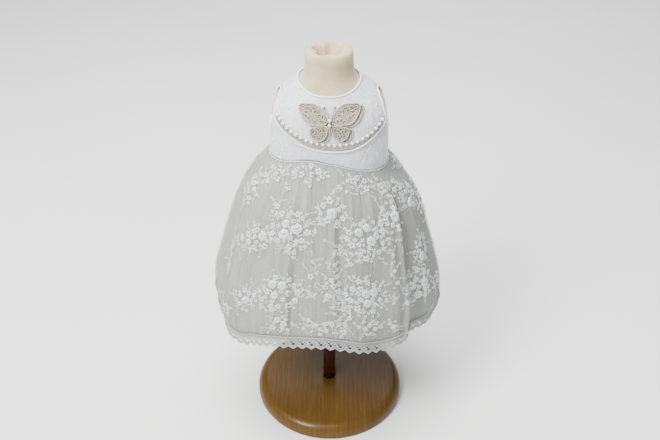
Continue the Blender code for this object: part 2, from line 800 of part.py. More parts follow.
def make_hem(lace):
    """Scalloped lace border below the embroidered tulle, and the raised cord along its top."""
    top = 1.0 - (HEM_LACE_HEIGHT - HEM_JOIN) / SKIRT_LENGTH
    tooth = TOOTH_HEIGHT / SKIRT_LENGTH
    columns = 2 * TEETH
    angles = np.linspace(-math.pi, math.pi, columns, endpoint=False)
    zigzag = np.where(np.arange(columns) % 2 == 0, 1.0, 1.0 - tooth)
    drop = np.stack([zigzag, np.full(columns, top)])
    angle = np.stack([angles, angles])
    cloth("hem_lace", on_bell(angle, drop, 0.0), LAYER_WALL, lace, closed=True)

    angles = np.linspace(-math.pi, math.pi, TEETH, endpoint=False)
    seam = np.full_like(angles, 1.0 - HEM_LACE_HEIGHT / SKIRT_LENGTH)
    path = on_bell(angles, seam, -(CORD_RADIUS + LAY_GAP))
    tube("hem_cord", path, CORD_RADIUS, lace, closed=True, resolution=0)


def make_back_opening(satin_lace, pearl):
    """Placket over the centre-back seam, and its three pearl buttons."""
    across = np.linspace(-PLACKET_WIDTH / 2, PLACKET_WIDTH / 2, 5)
    low = waist(math.pi) + 2 * SEAM_GAP
    high = down(math.pi, neckline(math.pi), 2 * (BINDING_RADIUS + SEAM_GAP))
    height, x = np.meshgrid(np.linspace(low, high, 12), across, indexing="ij")
    angle = math.pi + angle_across(x, height)
    lift = np.full_like(angle, LAY_GAP + LAYER_WALL)
    cloth("back_placket", on_bodice(angle, height, lift), LAYER_WALL, satin_lace)
    for number, height in enumerate(BUTTON_HEIGHTS, start=1):
        seat = on_bodice(math.pi, height, 2 * LAY_GAP + LAYER_WALL)
        above = on_bodice(math.pi, height, 2 * LAY_GAP + LAYER_WALL + 0.01)
        make_ball(f"back_button_{number}", seat, above, BUTTON_RADIUS, BUTTON_FLATNESS, pearl)


def main():
    """Clear the scene and build every piece."""
    for item in list(bpy.data.objects):
        bpy.data.objects.remove(item, do_unlink=True)
    collection = bpy.data.collections.new(COLLECTION)
    bpy.context.scene.collection.children.link(collection)

    oak = ((0.20, 0.10, 0.03), 0.25)
    pole_wood = ((0.06, 0.02, 0.01), 0.30)
    jersey = ((0.80, 0.76, 0.66), 0.90)
    satin_lace = ((0.76, 0.78, 0.80), 0.50)
    white_satin = ((0.82, 0.83, 0.84), 0.40)
    tulle = ((0.74, 0.74, 0.72), 0.80)
    lining = ((0.70, 0.70, 0.68), 0.60)
    cotton_lace = ((0.80, 0.80, 0.78), 0.85)
    ivory_lace = ((0.62, 0.58, 0.50), 0.70)
    pearl = ((0.85, 0.83, 0.78), 0.20)

    make_stand(oak, pole_wood)
    make_form(jersey)
    make_front(satin_lace)
    make_back(-1, "back_right", satin_lace)
    make_back(1, "back_left", satin_lace)
    make_bindings(white_satin)
    make_piping(white_satin)
    make_braid(cotton_lace)
    make_pearl_trim(pearl)
    make_butterfly(ivory_lace, pearl)
    make_skirt(tulle, lining)
    make_hem(cotton_lace)
    make_back_opening(satin_lace, pearl)


if __name__ == "__main__":
    main()
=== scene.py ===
"""Looks of a christening gown on a limbless dress form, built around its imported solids.

Lengths are metres, +Z is up and the gown's front faces -Y. Angles run round the form from the
front (0) towards +X, the wearer's left. Every cloth and trim is worked out on one of two guide
surfaces, the form's skin and the skirt's bell, which are the guides of the solids too.
"""

from __future__ import annotations

import logging
import math
from dataclasses import dataclass, field
from enum import Enum
from functools import partial
from typing import Any, Callable

import bpy
import numpy as np
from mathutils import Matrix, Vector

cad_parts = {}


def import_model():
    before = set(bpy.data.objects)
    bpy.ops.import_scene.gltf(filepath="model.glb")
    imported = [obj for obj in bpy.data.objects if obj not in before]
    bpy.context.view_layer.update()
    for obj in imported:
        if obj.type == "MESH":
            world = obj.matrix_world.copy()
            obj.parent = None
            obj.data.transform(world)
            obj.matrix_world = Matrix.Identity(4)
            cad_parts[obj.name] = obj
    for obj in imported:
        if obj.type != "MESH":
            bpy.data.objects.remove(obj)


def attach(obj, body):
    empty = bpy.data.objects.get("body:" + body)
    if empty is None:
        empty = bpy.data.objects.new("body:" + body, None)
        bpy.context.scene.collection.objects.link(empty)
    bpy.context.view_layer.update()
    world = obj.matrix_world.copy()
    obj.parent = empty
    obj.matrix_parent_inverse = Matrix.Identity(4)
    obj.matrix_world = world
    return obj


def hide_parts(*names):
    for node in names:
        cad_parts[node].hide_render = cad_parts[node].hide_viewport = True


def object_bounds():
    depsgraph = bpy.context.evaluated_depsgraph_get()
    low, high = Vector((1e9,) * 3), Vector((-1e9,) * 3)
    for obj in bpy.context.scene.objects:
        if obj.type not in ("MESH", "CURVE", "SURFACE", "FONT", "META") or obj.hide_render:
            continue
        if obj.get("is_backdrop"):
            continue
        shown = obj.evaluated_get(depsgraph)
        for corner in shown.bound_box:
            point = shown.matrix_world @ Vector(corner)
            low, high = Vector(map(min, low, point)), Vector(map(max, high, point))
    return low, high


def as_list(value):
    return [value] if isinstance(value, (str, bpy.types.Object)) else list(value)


Array = np.ndarray
Piece = bpy.types.Object
Table = tuple[tuple[float, ...], ...]
Sizes = dict[str, list[list[float]]]
# What a node's sockets hold, by number or name or in order: a value, or the output that feeds it.
Inputs = dict[int | str, Any] | tuple[Any, ...]
# Adds a node to a finish's own tree and gives back its output.
Adder = Callable[..., bpy.types.NodeSocket]
# Gives the points of a path for a lift above a surface.
Place = Callable[[Array | float], Array]

log = logging.getLogger("gown")

BODY = "root"
MM = 0.001
# A wave texture's band spans this many of its own units.
WAVE_PERIOD = math.tau / 20.0


# ------------------------------------------------------------------------ curves and grids

def smooth_step(value: Array | float) -> Array:
    """Rise from 0 to 1 with soft ends: 3t squared less 2t cubed, held outside 0 to 1."""
    t = np.clip(value, 0.0, 1.0)
    return t * t * (3.0 - 2.0 * t)


def along(rows: Table | Array, column: int, value: Array | float) -> Array:
    """Read a table's column at a value of its first column, on a smooth Hermite curve.

    Args:
        rows: the table, with its first column rising.
        column: which column is read.
        value: where it is read.

    Returns:
        The column's values there.
    """
    table = np.array(rows)
    x, y = table[:, 0], table[:, column]
    slope = np.gradient(y, x)
    value = np.asarray(value, float)
    i = np.clip(np.searchsorted(x, value, side="right") - 1, 0, len(x) - 2)
    step = x[i + 1] - x[i]
    t = (value - x[i]) / step
    return (
        y[i] * (1 + 2 * t) * (1 - t) ** 2
        + slope[i] * step * t * (1 - t) ** 2
        + y[i + 1] * t * t * (3 - 2 * t)
        - slope[i + 1] * step * t * t * (1 - t)
    )


def read_round(rows: Table, angle: Array | float) -> Array:
    """Read the second column of a table whose first runs round in degrees, closed on itself."""
    table = np.array(rows, float)
    closed = np.concatenate([table[-2:] - (360, 0), table, table[:2] + (360, 0)])
    return along(closed, 1, np.degrees(angle) % 360)


def oval(angle: Array, half_width: Array, half_depth: Array, squareness: Array) -> tuple:
    """Point of a superellipse seen from above, at an angle from the front, as x and y."""
    power = 2.0 / squareness
    s, c = np.sin(angle), np.cos(angle)
    x = half_width * np.sign(s) * np.abs(s) ** power
    y = -half_depth * np.sign(c) * np.abs(c) ** power
    return x, y


def wrapped(angle: Array, middle: Array | float) -> Array:
    """Angle from `middle`, brought to between -pi and pi."""
    return (angle - middle + math.pi) % math.tau - math.pi


def lifted(surface: Callable, first: Array, second: Array, lift: Array | float) -> Array:
    """Point of a guide surface, moved out along its normal.

    The normal is the cross product of the surface's steps along its two parameters.

    Args:
        surface: the guide, a function of two parameters.
        first: the parameter that runs round.
        second: the parameter that runs up or down.
        lift: distance out of the surface.

    Returns:
        Points, with x, y and z on the last axis.
    """
    turn, slide = 1e-3, 1e-4
    here = surface(first, second)
    across = surface(first + turn, second) - surface(first - turn, second)
    upward = surface(first, second + slide) - surface(first, second - slide)
    normal = np.cross(across, upward)
    normal /= np.linalg.norm(normal, axis=-1, keepdims=True)
    return here + normal * np.asarray(lift)[..., None]


def all_round(count: int, start: float = 0.0) -> Array:
    """Even angles all the way round."""
    return np.linspace(start, start + math.tau, count, endpoint=False)


def side_by_side(first: Array, second: Array) -> Array:
    """Flat coordinates from two arrays that are first spread to one shape."""
    return np.stack(np.broadcast_arrays(first, second), -1)


def unit(vectors: Array) -> Array:
    """Vectors brought to length one."""
    return vectors / (np.linalg.norm(vectors, axis=-1, keepdims=True) + 1e-12)


def lattice(rows: int, columns: int, wrap_rows: bool, wrap_columns: bool) -> tuple:
    """Quads over a grid of points.

    Args:
        rows: rows of points.
        columns: points in a row.
        wrap_rows: whether the last row joins the first.
        wrap_columns: whether the last column joins the first.

    Returns:
        Each quad's four point numbers, and each corner's row and column counted past the wrap.
    """
    r, c = np.meshgrid(
        np.arange(rows if wrap_rows else rows - 1),
        np.arange(columns if wrap_columns else columns - 1),
        indexing="ij",
    )
    corner = np.stack(
        [np.stack([r + dr, c + dc], -1) for dr, dc in ((0, 0), (0, 1), (1, 1), (1, 0))], 2
    ).reshape(-1, 4, 2)
    index = (corner[..., 0] % rows) * columns + corner[..., 1] % columns
    return index, corner


def travelled(path: Array) -> Array:
    """Distance gone at each point of a path."""
    return np.cumsum(np.linalg.norm(np.diff(path, axis=0, prepend=path[:1]), axis=1))


def evenly(path: Array, step: float, closed: bool = False) -> Array:
    """Rows spaced evenly along a path, about `step` apart, with what else each row holds."""
    if closed:
        path = np.concatenate([path, path[:1]])
    gone = travelled(path[:, :3])
    count = max(int(round(gone[-1] / step)), 3)
    at = np.linspace(0, gone[-1], count + 1)
    if closed:
        at = at[:-1]
    return np.stack([np.interp(at, gone, column) for column in path.T], -1)


def half_circle(rows: int) -> Array:
    """(radius, height) rows of a ball of unit radius, from pole to pole."""
    turns = np.linspace(-math.pi / 2, math.pi / 2, rows)
    ball = np.stack([np.cos(turns), np.sin(turns)], -1)
    ball[[0, -1], 0] = 0.0
    return ball


class Bundle:
    """Faces of many small shapes, joined into one mesh with one flat map."""

    def __init__(self) -> None:
        """Start empty."""
        self.points: list[Array] = []
        self.faces: list[Array] = []
        self.flats: list[Array] = []
        self.count = 0

    def add(self, points: Array, faces: Array, flats: Array) -> None:
        """Add a shape.

        Args:
            points: its points.
            faces: point numbers of faces that all have the same number of corners.
            flats: flat coordinates of each face's corners, in metres.
        """
        points = np.asarray(points).reshape(-1, 3)
        self.points.append(points)
        self.faces.append(np.asarray(faces) + self.count)
        self.flats.append(np.asarray(flats))
        self.count += len(points)

    def cap(self, rings: Array) -> None:
        """Close rows of points that are there already; their flat coordinates are 0."""
        self.faces.append(rings)
        self.flats.append(np.zeros((*rings.shape, 2)))

    def grid(self, points: Array, flat: Array, wrap_rows: bool = False,
             wrap_columns: bool = False, period: tuple[float, float] = (0, 0)) -> None:
        """Add a grid of points as quads.

        Args:
            points: rows by columns of points.
            flat: their flat coordinates.
            wrap_rows: whether the last row joins the first.
            wrap_columns: whether the last column joins the first.
            period: what the flat coordinates grow by over each wrap.
        """
        rows, columns = points.shape[:2]
        index, corner = lattice(rows, columns, wrap_rows, wrap_columns)
        turns = np.stack([corner[..., 1] // columns, corner[..., 0] // rows], -1)
        flats = flat.reshape(-1, 2)[index] + turns * np.array(period)
        self.add(points, index, flats)

    def mesh(self, name: str) -> Piece:
        """Make the joined mesh as a named object."""
        data = bpy.data.meshes.new(name)
        faces = [row for block in self.faces for row in block.tolist()]
        data.from_pydata(np.concatenate(self.points).tolist(), [], faces)
        layer = data.uv_layers.new(name="flat")
        corners = np.concatenate([block.reshape(-1, 2) for block in self.flats])
        layer.data.foreach_set("uv", corners.astype(np.float32).ravel())
        data.shade_smooth()
        piece = bpy.data.objects.new(name, data)
        bpy.context.scene.collection.objects.link(piece)
        return piece


@dataclass(frozen=True)
class Rope:
    """A cord of twisted strands; one strand gives a plain round cord."""

    radius: float
    strands: int = 3
    pitch: float = 3.0 * MM
    depth: float = 0.25
    sides: int = 10
    step: float = 0.6 * MM

    def lay(self, bundle: Bundle, place: Place, lift: Array | float, closed: bool = False,
            swell: Array | float = 1.0) -> None:
        """Carry the cord's section along a path.

        The section's radius is 1 - depth times the sine of half the strand angle, squared,
        and turns once in a pitch.

        Args:
            bundle: where the cord's faces go.
            place: points of its middle line for a lift above the cloth.
            lift: how far above the cloth it lies.
            closed: whether the path is a loop.
            swell: scales the radius at each point.
        """
        path = place(lift)
        out = unit(place(lift + MM) - path)
        rows = np.column_stack([path, out, np.broadcast_to(swell, len(path))])
        even = evenly(rows, self.step, closed)
        path, out, size = even[:, :3], even[:, 3:6], even[:, 6:]
        if closed:
            ahead = np.roll(path, -1, 0) - np.roll(path, 1, 0)
        else:
            ahead = np.gradient(path, axis=0)
        ahead = unit(ahead)
        side = unit(np.cross(ahead, out))
        out = np.cross(side, ahead)
        gone = np.arange(len(path)) * np.linalg.norm(path[1] - path[0])
        pitch = gone[-1] / max(round(gone[-1] / self.pitch), 1) if closed else self.pitch
        phi = all_round(self.sides)
        strand = phi - math.tau * gone[:, None] / pitch
        groove = np.sin(strand * self.strands / 2) ** 2 if self.strands > 1 else 0 * strand
        radius = self.radius * size * (1 - self.depth * groove)
        turn = phi[:, None]
        around = np.cos(turn) * out[:, None] + np.sin(turn) * side[:, None]
        points = path[:, None] + around * radius[..., None]
        flat = side_by_side(phi * self.radius, gone[:, None])
        ring = np.arange(self.sides)[None] + bundle.count
        period = (math.tau * self.radius, gone[-1] if closed else 0.0)
        bundle.grid(points, flat, closed, True, period)
        if not closed:
            bundle.cap(ring[:, ::-1])
            bundle.cap(ring + (len(path) - 1) * self.sides)


def turned_solid(bundle: Bundle, profile: Array, steps: int, middle: Array, axis: Array) -> None:
    """Add a solid of revolution.

    Each point is the middle plus its height along the axis plus its radius round it.

    Args:
        bundle: where its faces go.
        profile: (radius, height) rows from the bottom pole up its outside to the top pole.
        steps: how many columns it has.
        middle: where height 0 lies.
        axis: unit direction of its height.
    """
    axis = unit(np.asarray(axis, float))
    helper = np.array([1.0, 0, 0]) if abs(axis[0]) < 0.9 else np.array([0, 1.0, 0])
    first = unit(np.cross(axis, helper))
    second = np.cross(axis, first)
    phi = all_round(steps)
    profile = np.asarray(profile, float)
    inner = profile[1:-1]
    ring = np.cos(phi)[:, None] * first + np.sin(phi)[:, None] * second
    points = middle + inner[:, None, 1:] * axis + inner[:, None, :1] * ring
    girth = float(inner[:, 0].max())
    flat = side_by_side(phi * girth, travelled(inner)[:, None])
    here = np.arange(steps) + bundle.count
    bundle.grid(points, flat, False, True, (math.tau * girth, 0.0))
    low, high = bundle.count, bundle.count + 1
    bundle.points.append(middle + profile[[0, -1], 1:] * axis)
    bundle.count += 2
    after = np.roll(here, -1)
    last = (len(inner) - 1) * steps
    bundle.cap(np.stack([np.full(steps, low), after, here], -1))
    bundle.cap(np.stack([np.full(steps, high), last + here, last + after], -1))


# ------------------------------------------------------------------------- guide surfaces

@dataclass(frozen=True)
class FormGuide:
    """Skin of the dress form, and the bodice's lines on it."""

    # height, half_width, half_depth, squareness
    sections: Table = (
        (0.2400, 0.0640, 0.0520, 2.2),
        (0.2480, 0.0705, 0.0575, 2.2),
        (0.2700, 0.0745, 0.0610, 2.3),
        (0.3400, 0.0740, 0.0615, 2.4),
        (0.4250, 0.0690, 0.0570, 2.5),
        (0.4680, 0.0705, 0.0560, 2.6),
        (0.4900, 0.0690, 0.0510, 2.6),
        (0.5010, 0.0635, 0.0460, 2.5),
        (0.5120, 0.0530, 0.0400, 2.3),
        (0.5220, 0.0400, 0.0350, 2.1),
        (0.5320, 0.0315, 0.0308, 2.0),
        (0.5420, 0.0293, 0.0293, 2.0),
        (0.5530, 0.0290, 0.0290, 2.0),
    )
    body_gap: float = 0.9 * MM
    bodice_wall: float = 1.2 * MM
    neck_front: float = 0.5160
    neck_back: float = 0.5265
    neck_curve: float = 4.0
    # degrees from the front towards the wearer's left, height of the waist seam
    waist_levels: Table = (
        (3, 0.4385), (14, 0.4335), (31, 0.4270), (50, 0.4225), (70, 0.4200), (90, 0.4195),
        (135, 0.4215), (180, 0.4235), (225, 0.4255), (270, 0.4285), (300, 0.4335),
        (325, 0.4390), (343, 0.4435), (353, 0.4430),
    )
    waist_ease: float = 0.0032
    ease_top: float = 0.4720
    ease_bottom: float = 0.4290
    arm_middle: float = 0.4870
    arm_half_height: float = 0.0215
    arm_half_angle: float = math.radians(24)
    half_width: float = 0.0705
    yoke_low: float = 0.4557
    yoke_low_angle: float = math.radians(5)
    yoke_rise: float = 0.0410
    yoke_flattening: float = 0.6

    def ring(self, angle: Array, height: Array) -> Array:
        """Point of the form's skin: the superellipse of that height."""
        sizes = (along(self.sections, k, height) for k in (1, 2, 3))
        x, y = oval(angle, *sizes)
        return np.stack(np.broadcast_arrays(x, y, height), -1)

    def skin(self, angle: Array, height: Array, lift: Array | float) -> Array:
        """Point above the form's skin."""
        return lifted(self.ring, np.asarray(angle, float), np.asarray(height, float), lift)

    def bodice(self, angle: Array, height: Array, lift: Array | float) -> Array:
        """Point above the bodice's outer face, which stands off more towards the waist."""
        height = np.asarray(height, float)
        share = smooth_step((self.ease_top - height) / (self.ease_top - self.ease_bottom))
        ease = self.body_gap + self.waist_ease * share
        return self.skin(angle, height, ease + self.bodice_wall + lift)

    def waist(self, angle: Array) -> Array:
        """Height of the waist seam: high left of the middle in front, low on the right."""
        return read_round(self.waist_levels, angle)

    def neckline(self, angle: Array) -> Array:
        """Height of the neckline: a raised cosine to a power, low in front."""
        share = ((1 + np.cos(angle)) / 2) ** self.neck_curve
        return self.neck_back - (self.neck_back - self.neck_front) * share

    def yoke_seam(self, angle: Array) -> Array:
        """Height of the curved seam between yoke and midriff."""
        away = (angle - self.yoke_low_angle) ** 2
        return self.yoke_low + self.yoke_rise * away / (1 + self.yoke_flattening * away)

    def armhole(self, side: int, turn: Array, grow: float, back: bool = False) -> tuple:
        """Angle and height on an armhole's edge, `turn` running from the underarm up."""
        reach = self.arm_half_angle + grow / self.half_width
        bulge = reach * np.cos(turn) * (1 if back else -1)
        height = self.arm_middle + (self.arm_half_height + grow) * np.sin(turn)
        return side * (math.pi / 2 + bulge), height

    def angle_across(self, x: Array, height: Array) -> Array:
        """Angle at which the form's skin lies `x` off the middle plane."""
        share = x / along(self.sections, 1, height)
        power = along(self.sections, 3, height) / 2.0
        return np.arcsin(np.sign(share) * np.abs(share) ** power)


@dataclass(frozen=True)
class BellGuide:
    """The skirt's bell, with its largest folds."""

    form: FormGuide
    length: float = 0.2500
    # drop from waist to hem (0-1), half_width, half_depth, squareness, sway
    sections: Table = (
        (0.00, 0.0737, 0.0617, 2.5, 0.0000),
        (0.05, 0.0825, 0.0698, 2.4, -0.0006),
        (0.12, 0.0958, 0.0790, 2.3, -0.0006),
        (0.20, 0.1085, 0.0880, 2.2, -0.0010),
        (0.31, 0.1204, 0.0965, 2.15, -0.0018),
        (0.46, 0.1316, 0.1055, 2.1, -0.0030),
        (0.66, 0.1460, 0.1150, 2.1, -0.0042),
        (0.83, 0.1563, 0.1215, 2.05, -0.0052),
        (0.93, 0.1568, 0.1238, 2.0, -0.0050),
        (1.00, 0.1550, 0.1270, 2.0, -0.0048),
    )
    # angle and spread in degrees, height out of the bell (- is a trough), drop where it starts
    folds: Table = (
        (-172, 14, 0.0045, 0.050), (-154, 11, -0.0050, 0.025), (-137, 13, 0.0050, 0.075),
        (-118, 12, -0.0045, 0.100), (-101, 12, 0.0050, 0.025), (-84, 11, -0.0040, 0.050),
        (-70, 9, -0.0040, 0.150), (-54, 9, 0.0030, 0.100), (-41, 7, -0.0030, 0.150),
        (-27, 9, 0.0012, 0.050), (-13, 8, -0.0030, 0.200), (2, 8, 0.0008, 0.100),
        (18, 9, 0.0030, 0.050), (37, 9, 0.0040, 0.050), (53, 8, -0.0070, 0.120),
        (68, 8, 0.0010, 0.300), (84, 12, 0.0050, 0.050), (103, 13, -0.0045, 0.075),
        (121, 12, 0.0050, 0.025), (139, 13, -0.0050, 0.100), (157, 12, 0.0045, 0.050),
        (173, 8, -0.0035, 0.150),
    )
    fold_growth: float = 0.45
    # degrees from the front towards the wearer's left, height of the lace's points
    hem_levels: Table = (
        (0, 0.1980), (9, 0.1925), (19, 0.1855), (29, 0.1800), (38, 0.1820), (47, 0.1815),
        (58, 0.1805), (70, 0.1820), (90, 0.1790), (120, 0.1800), (150, 0.1775), (180, 0.1800),
        (210, 0.1775), (240, 0.1805), (270, 0.1770), (290, 0.1755), (304, 0.1720),
        (314, 0.1695), (323, 0.1795), (332, 0.1895), (346, 0.1940),
    )

    def hem(self, angle: Array) -> Array:
        """Height of the points of the hem lace."""
        return read_round(self.hem_levels, angle)

    def smooth(self, angle: Array, drop: Array) -> Array:
        """Point of the bell without folds: an oval that grows as it drops."""
        half_width, half_depth, square, sway = (
            along(self.sections, k, drop) for k in (1, 2, 3, 4)
        )
        x, y = oval(angle, half_width, half_depth, square)
        top = self.form.waist(angle)
        z = top + (self.hem(angle) - top) * drop
        return np.stack(np.broadcast_arrays(x + sway, y, z), -1)

    def fold_height(self, angle: Array, drop: Array) -> Array:
        """How far the largest folds stand out: round bumps that grow with the drop."""
        total = np.zeros(np.broadcast(angle, drop).shape)
        for middle, spread, height, start in self.folds:
            away = wrapped(angle, math.radians(middle)) / math.radians(spread)
            reach = smooth_step((drop - start) / self.fold_growth)
            total = total + height * np.exp(-2.0 * away * away) * reach
        return total

    def point(self, angle: Array, drop: Array, lift: Array) -> Array:
        """Point `lift` out of the smooth bell; drop rises downwards, so lift is turned."""
        angle, drop = np.broadcast_arrays(np.asarray(angle, float), np.asarray(drop, float))
        return lifted(self.smooth, angle, drop, -np.asarray(lift))

    def scale(self, angle: float, drop: float) -> tuple[float, float]:
        """Metres for a radian across and for a whole drop down, at a place of the bell."""
        turn, slide = 1e-3, 1e-3
        a, d = np.array(angle), np.array(drop)
        across = self.smooth(a + turn, d) - self.smooth(a - turn, d)
        down = self.smooth(a, d + slide) - self.smooth(a, d - slide)
        return float(np.linalg.norm(across)) / (2 * turn), float(np.linalg.norm(down)) / (2 * slide)


@dataclass
class ClothMap:
    """A draped cloth's points and outward normals over a grid of angle and drop."""

    drops: Array
    points: Array
    normals: Array = field(init=False)

    def __post_init__(self) -> None:
        """Work the normals out as the cross product of the steps round and down."""
        round_step = np.roll(self.points, -1, 1) - np.roll(self.points, 1, 1)
        down_step = np.gradient(self.points, axis=0)
        self.normals = -unit(np.cross(round_step, down_step))

    def at(self, angle: Array, drop: Array, lift: Array | float) -> Array:
        """Point above the cloth, blended between the four grid points round it."""
        rows, columns = self.points.shape[:2]
        column = (np.asarray(angle) + math.pi) / math.tau * columns
        row = np.interp(drop, self.drops, np.arange(rows))
        column, row = np.broadcast_arrays(column, row)
        c0 = np.floor(column).astype(int)
        r0 = np.clip(np.floor(row).astype(int), 0, rows - 2)
        fc, fr = (column - c0)[..., None], (row - r0)[..., None]
        left, right = c0 % columns, (c0 + 1) % columns

        def blend(values: Array) -> Array:
            """Bilinear blend of a grid's values."""
            upper = values[r0, left] * (1 - fc) + values[r0, right] * fc
            lower = values[r0 + 1, left] * (1 - fc) + values[r0 + 1, right] * fc
            return upper * (1 - fr) + lower * fr

        return blend(self.points) + unit(blend(self.normals)) * np.asarray(lift)[..., None]


# ----------------------------------------------------------------------------- finishes

def linear(hex_colour: str) -> tuple[float, float, float, float]:
    """Turn an sRGB hex value such as "#F2F4F6" to linear red, green, blue and alpha."""
    values = [int(hex_colour[k:k + 2], 16) / 255.0 for k in (1, 3, 5)]
    out = [v / 12.92 if v <= 0.04045 else ((v + 0.055) / 1.055) ** 2.4 for v in values]
    return (*out, 1.0)


def fill(tree: bpy.types.NodeTree, node: bpy.types.Node, inputs: Inputs) -> None:
    """Set or feed a node's sockets."""
    pairs = inputs.items() if isinstance(inputs, dict) else enumerate(inputs)
    for key, value in pairs:
        if isinstance(value, bpy.types.NodeSocket):
            tree.links.new(value, node.inputs[key])
        else:
            node.inputs[key].default_value = value


def add_node(tree: bpy.types.NodeTree, kind: str, inputs: Inputs = (), out: int | str = 0,
             stops: tuple[tuple[float, str], ...] = (), **settings: Any) -> bpy.types.NodeSocket:
    """Add a node to a tree, with its settings and links.

    Args:
        tree: the material's tree.
        kind: the node's type, without the leading "ShaderNode".
        inputs: what its sockets hold.
        out: which output is wanted.
        stops: place and hex colour of each stop, on a colour ramp.
        settings: values of the node's own properties.

    Returns:
        The output.
    """
    made = tree.nodes.new("ShaderNode" + kind)
    for name, value in settings.items():
        setattr(made, name, value)
    fill(tree, made, inputs)
    for _ in stops[2:]:
        made.color_ramp.elements.new(0.5)
    for number, (place, colour) in enumerate(stops):
        element = made.color_ramp.elements[number]
        element.position, element.color = place, linear(colour)
    return made.outputs[out]


@dataclass(frozen=True)
class Finish:
    """A material of the gown or its stand."""

    name: str

    def material(self) -> bpy.types.Material:
        """Make the material, once."""
        made = bpy.data.materials.get(self.name)
        if made is None:
            made = bpy.data.materials.new(self.name)
            made.use_nodes = True
            tree = made.node_tree
            fill(tree, tree.nodes["Principled BSDF"], self.sockets(partial(add_node, tree)))
        return made

    def sockets(self, add: Adder) -> Inputs:
        """What the shader's sockets hold; each finish has its own."""
        raise NotImplementedError


@dataclass(frozen=True)
class VarnishedOak(Finish):
    """Oak, turned and varnished with satin polyurethane: straight grain, glossy film.

    The grain runs along Y, so its bands vary across X, on the rim as upright stripes.
    """

    dark: str = "#3A2813"
    middle: str = "#503A18"
    light: str = "#644A20"
    ring_pitch: float = 7.0 * MM
    pore_pitch: float = 1.1 * MM

    def sockets(self, add: Adder) -> Inputs:
        """Broad rings bent by slow noise, fine pores stretched along the grain."""
        place = add("TexCoord", out="Object")
        slow = add("Mapping", {0: place, "Scale": (6.0, 2.2, 2.2)})
        bend = add("TexNoise", {0: slow, "Scale": 1.0, "Detail": 2.0})
        rings = add("TexWave", {
            0: place, "Scale": WAVE_PERIOD / self.ring_pitch, "Distortion": 3.0,
            "Detail": 2.0, "Detail Scale": 0.15,
        }, "Fac", bands_direction="X", wave_profile="SAW")
        fine = add("Mapping", {0: place, "Scale": (1.0, 0.03, 0.03)})
        pores = add("TexNoise", {
            0: fine, "Scale": 1.0 / self.pore_pitch, "Detail": 3.0, "Roughness": 0.6,
        })
        mixed = add("Math", (rings, 0.14, pores), operation="MULTIPLY_ADD")
        bent = add("Math", (bend, 0.45, mixed), operation="MULTIPLY_ADD")
        shade = add("MapRange", (bent, 0.35, 1.20, 0.0, 1.0))
        colours = ((0.0, self.dark), (0.5, self.middle), (1.0, self.light))
        return {
            "Base Color": add("ValToRGB", (shade,), stops=colours),
            "Roughness": add("MapRange", (pores, 0.3, 0.7, 0.30, 0.40)),
            "Normal": add("Bump", {"Height": pores, "Distance": 0.10 * MM}),
            "Coat Weight": 0.12, "Coat Roughness": 0.10, "IOR": 1.35, "Specular IOR Level": 0.2,
        }


@dataclass(frozen=True)
class DarkBeech(Finish):
    """Beech dowel, coloured a very dark red-brown and varnished: close flecks along the pole."""

    dark: str = "#26110C"
    light: str = "#3E1C13"
    fleck: float = 1.5 * MM

    def sockets(self, add: Adder) -> Inputs:
        """Short flecks stretched along Z under a clear coat."""
        fine = add("Mapping", {0: add("TexCoord", out="Object"), "Scale": (1.0, 1.0, 0.08)})
        grain = add("TexNoise", {0: fine, "Scale": 1.0 / self.fleck, "Detail": 3.0})
        return {
            "Base Color": add("ValToRGB", (grain,), stops=((0.3, self.dark), (0.7, self.light))),
            "Roughness": add("MapRange", (grain, 0.3, 0.7, 0.28, 0.42)),
            "Coat Weight": 0.12, "Coat Roughness": 0.12, "IOR": 1.35, "Specular IOR Level": 0.25,
        }


@dataclass(frozen=True)
class CottonJersey(Finish):
    """Fine single jersey stretched over the form: knit ribs down it, soft and matt."""

    light: str = "#C4B593"
    dark: str = "#B1A07C"
    rib: float = 1.0 * MM

    def sockets(self, add: Adder) -> Inputs:
        """Ribs of stitches, drawn a little coarse, with a fuzzy sheen."""
        flat = add("UVMap", uv_map="flat")
        ribs = add("TexWave", {
            0: flat, "Scale": WAVE_PERIOD / self.rib, "Distortion": 0.6, "Detail": 1.0,
        }, "Fac", bands_direction="X")
        rows = add("TexWave", {
            0: flat, "Scale": WAVE_PERIOD / (self.rib * 0.8), "Distortion": 0.6,
        }, "Fac", bands_direction="Y")
        knit = add("Math", (ribs, rows), operation="MULTIPLY")
        cloud = add("TexNoise", {0: flat, "Scale": 60.0, "Detail": 3.0})
        return {
            "Base Color": add("ValToRGB", (cloud,), stops=((0.25, self.dark), (0.75, self.light))),
            "Normal": add("Bump", {"Height": knit, "Distance": 0.12 * MM}),
            "Roughness": add("MapRange", (knit, 0.0, 1.0, 0.92, 0.80)),
            "Sheen Weight": 0.25, "Sheen Roughness": 0.5,
        }


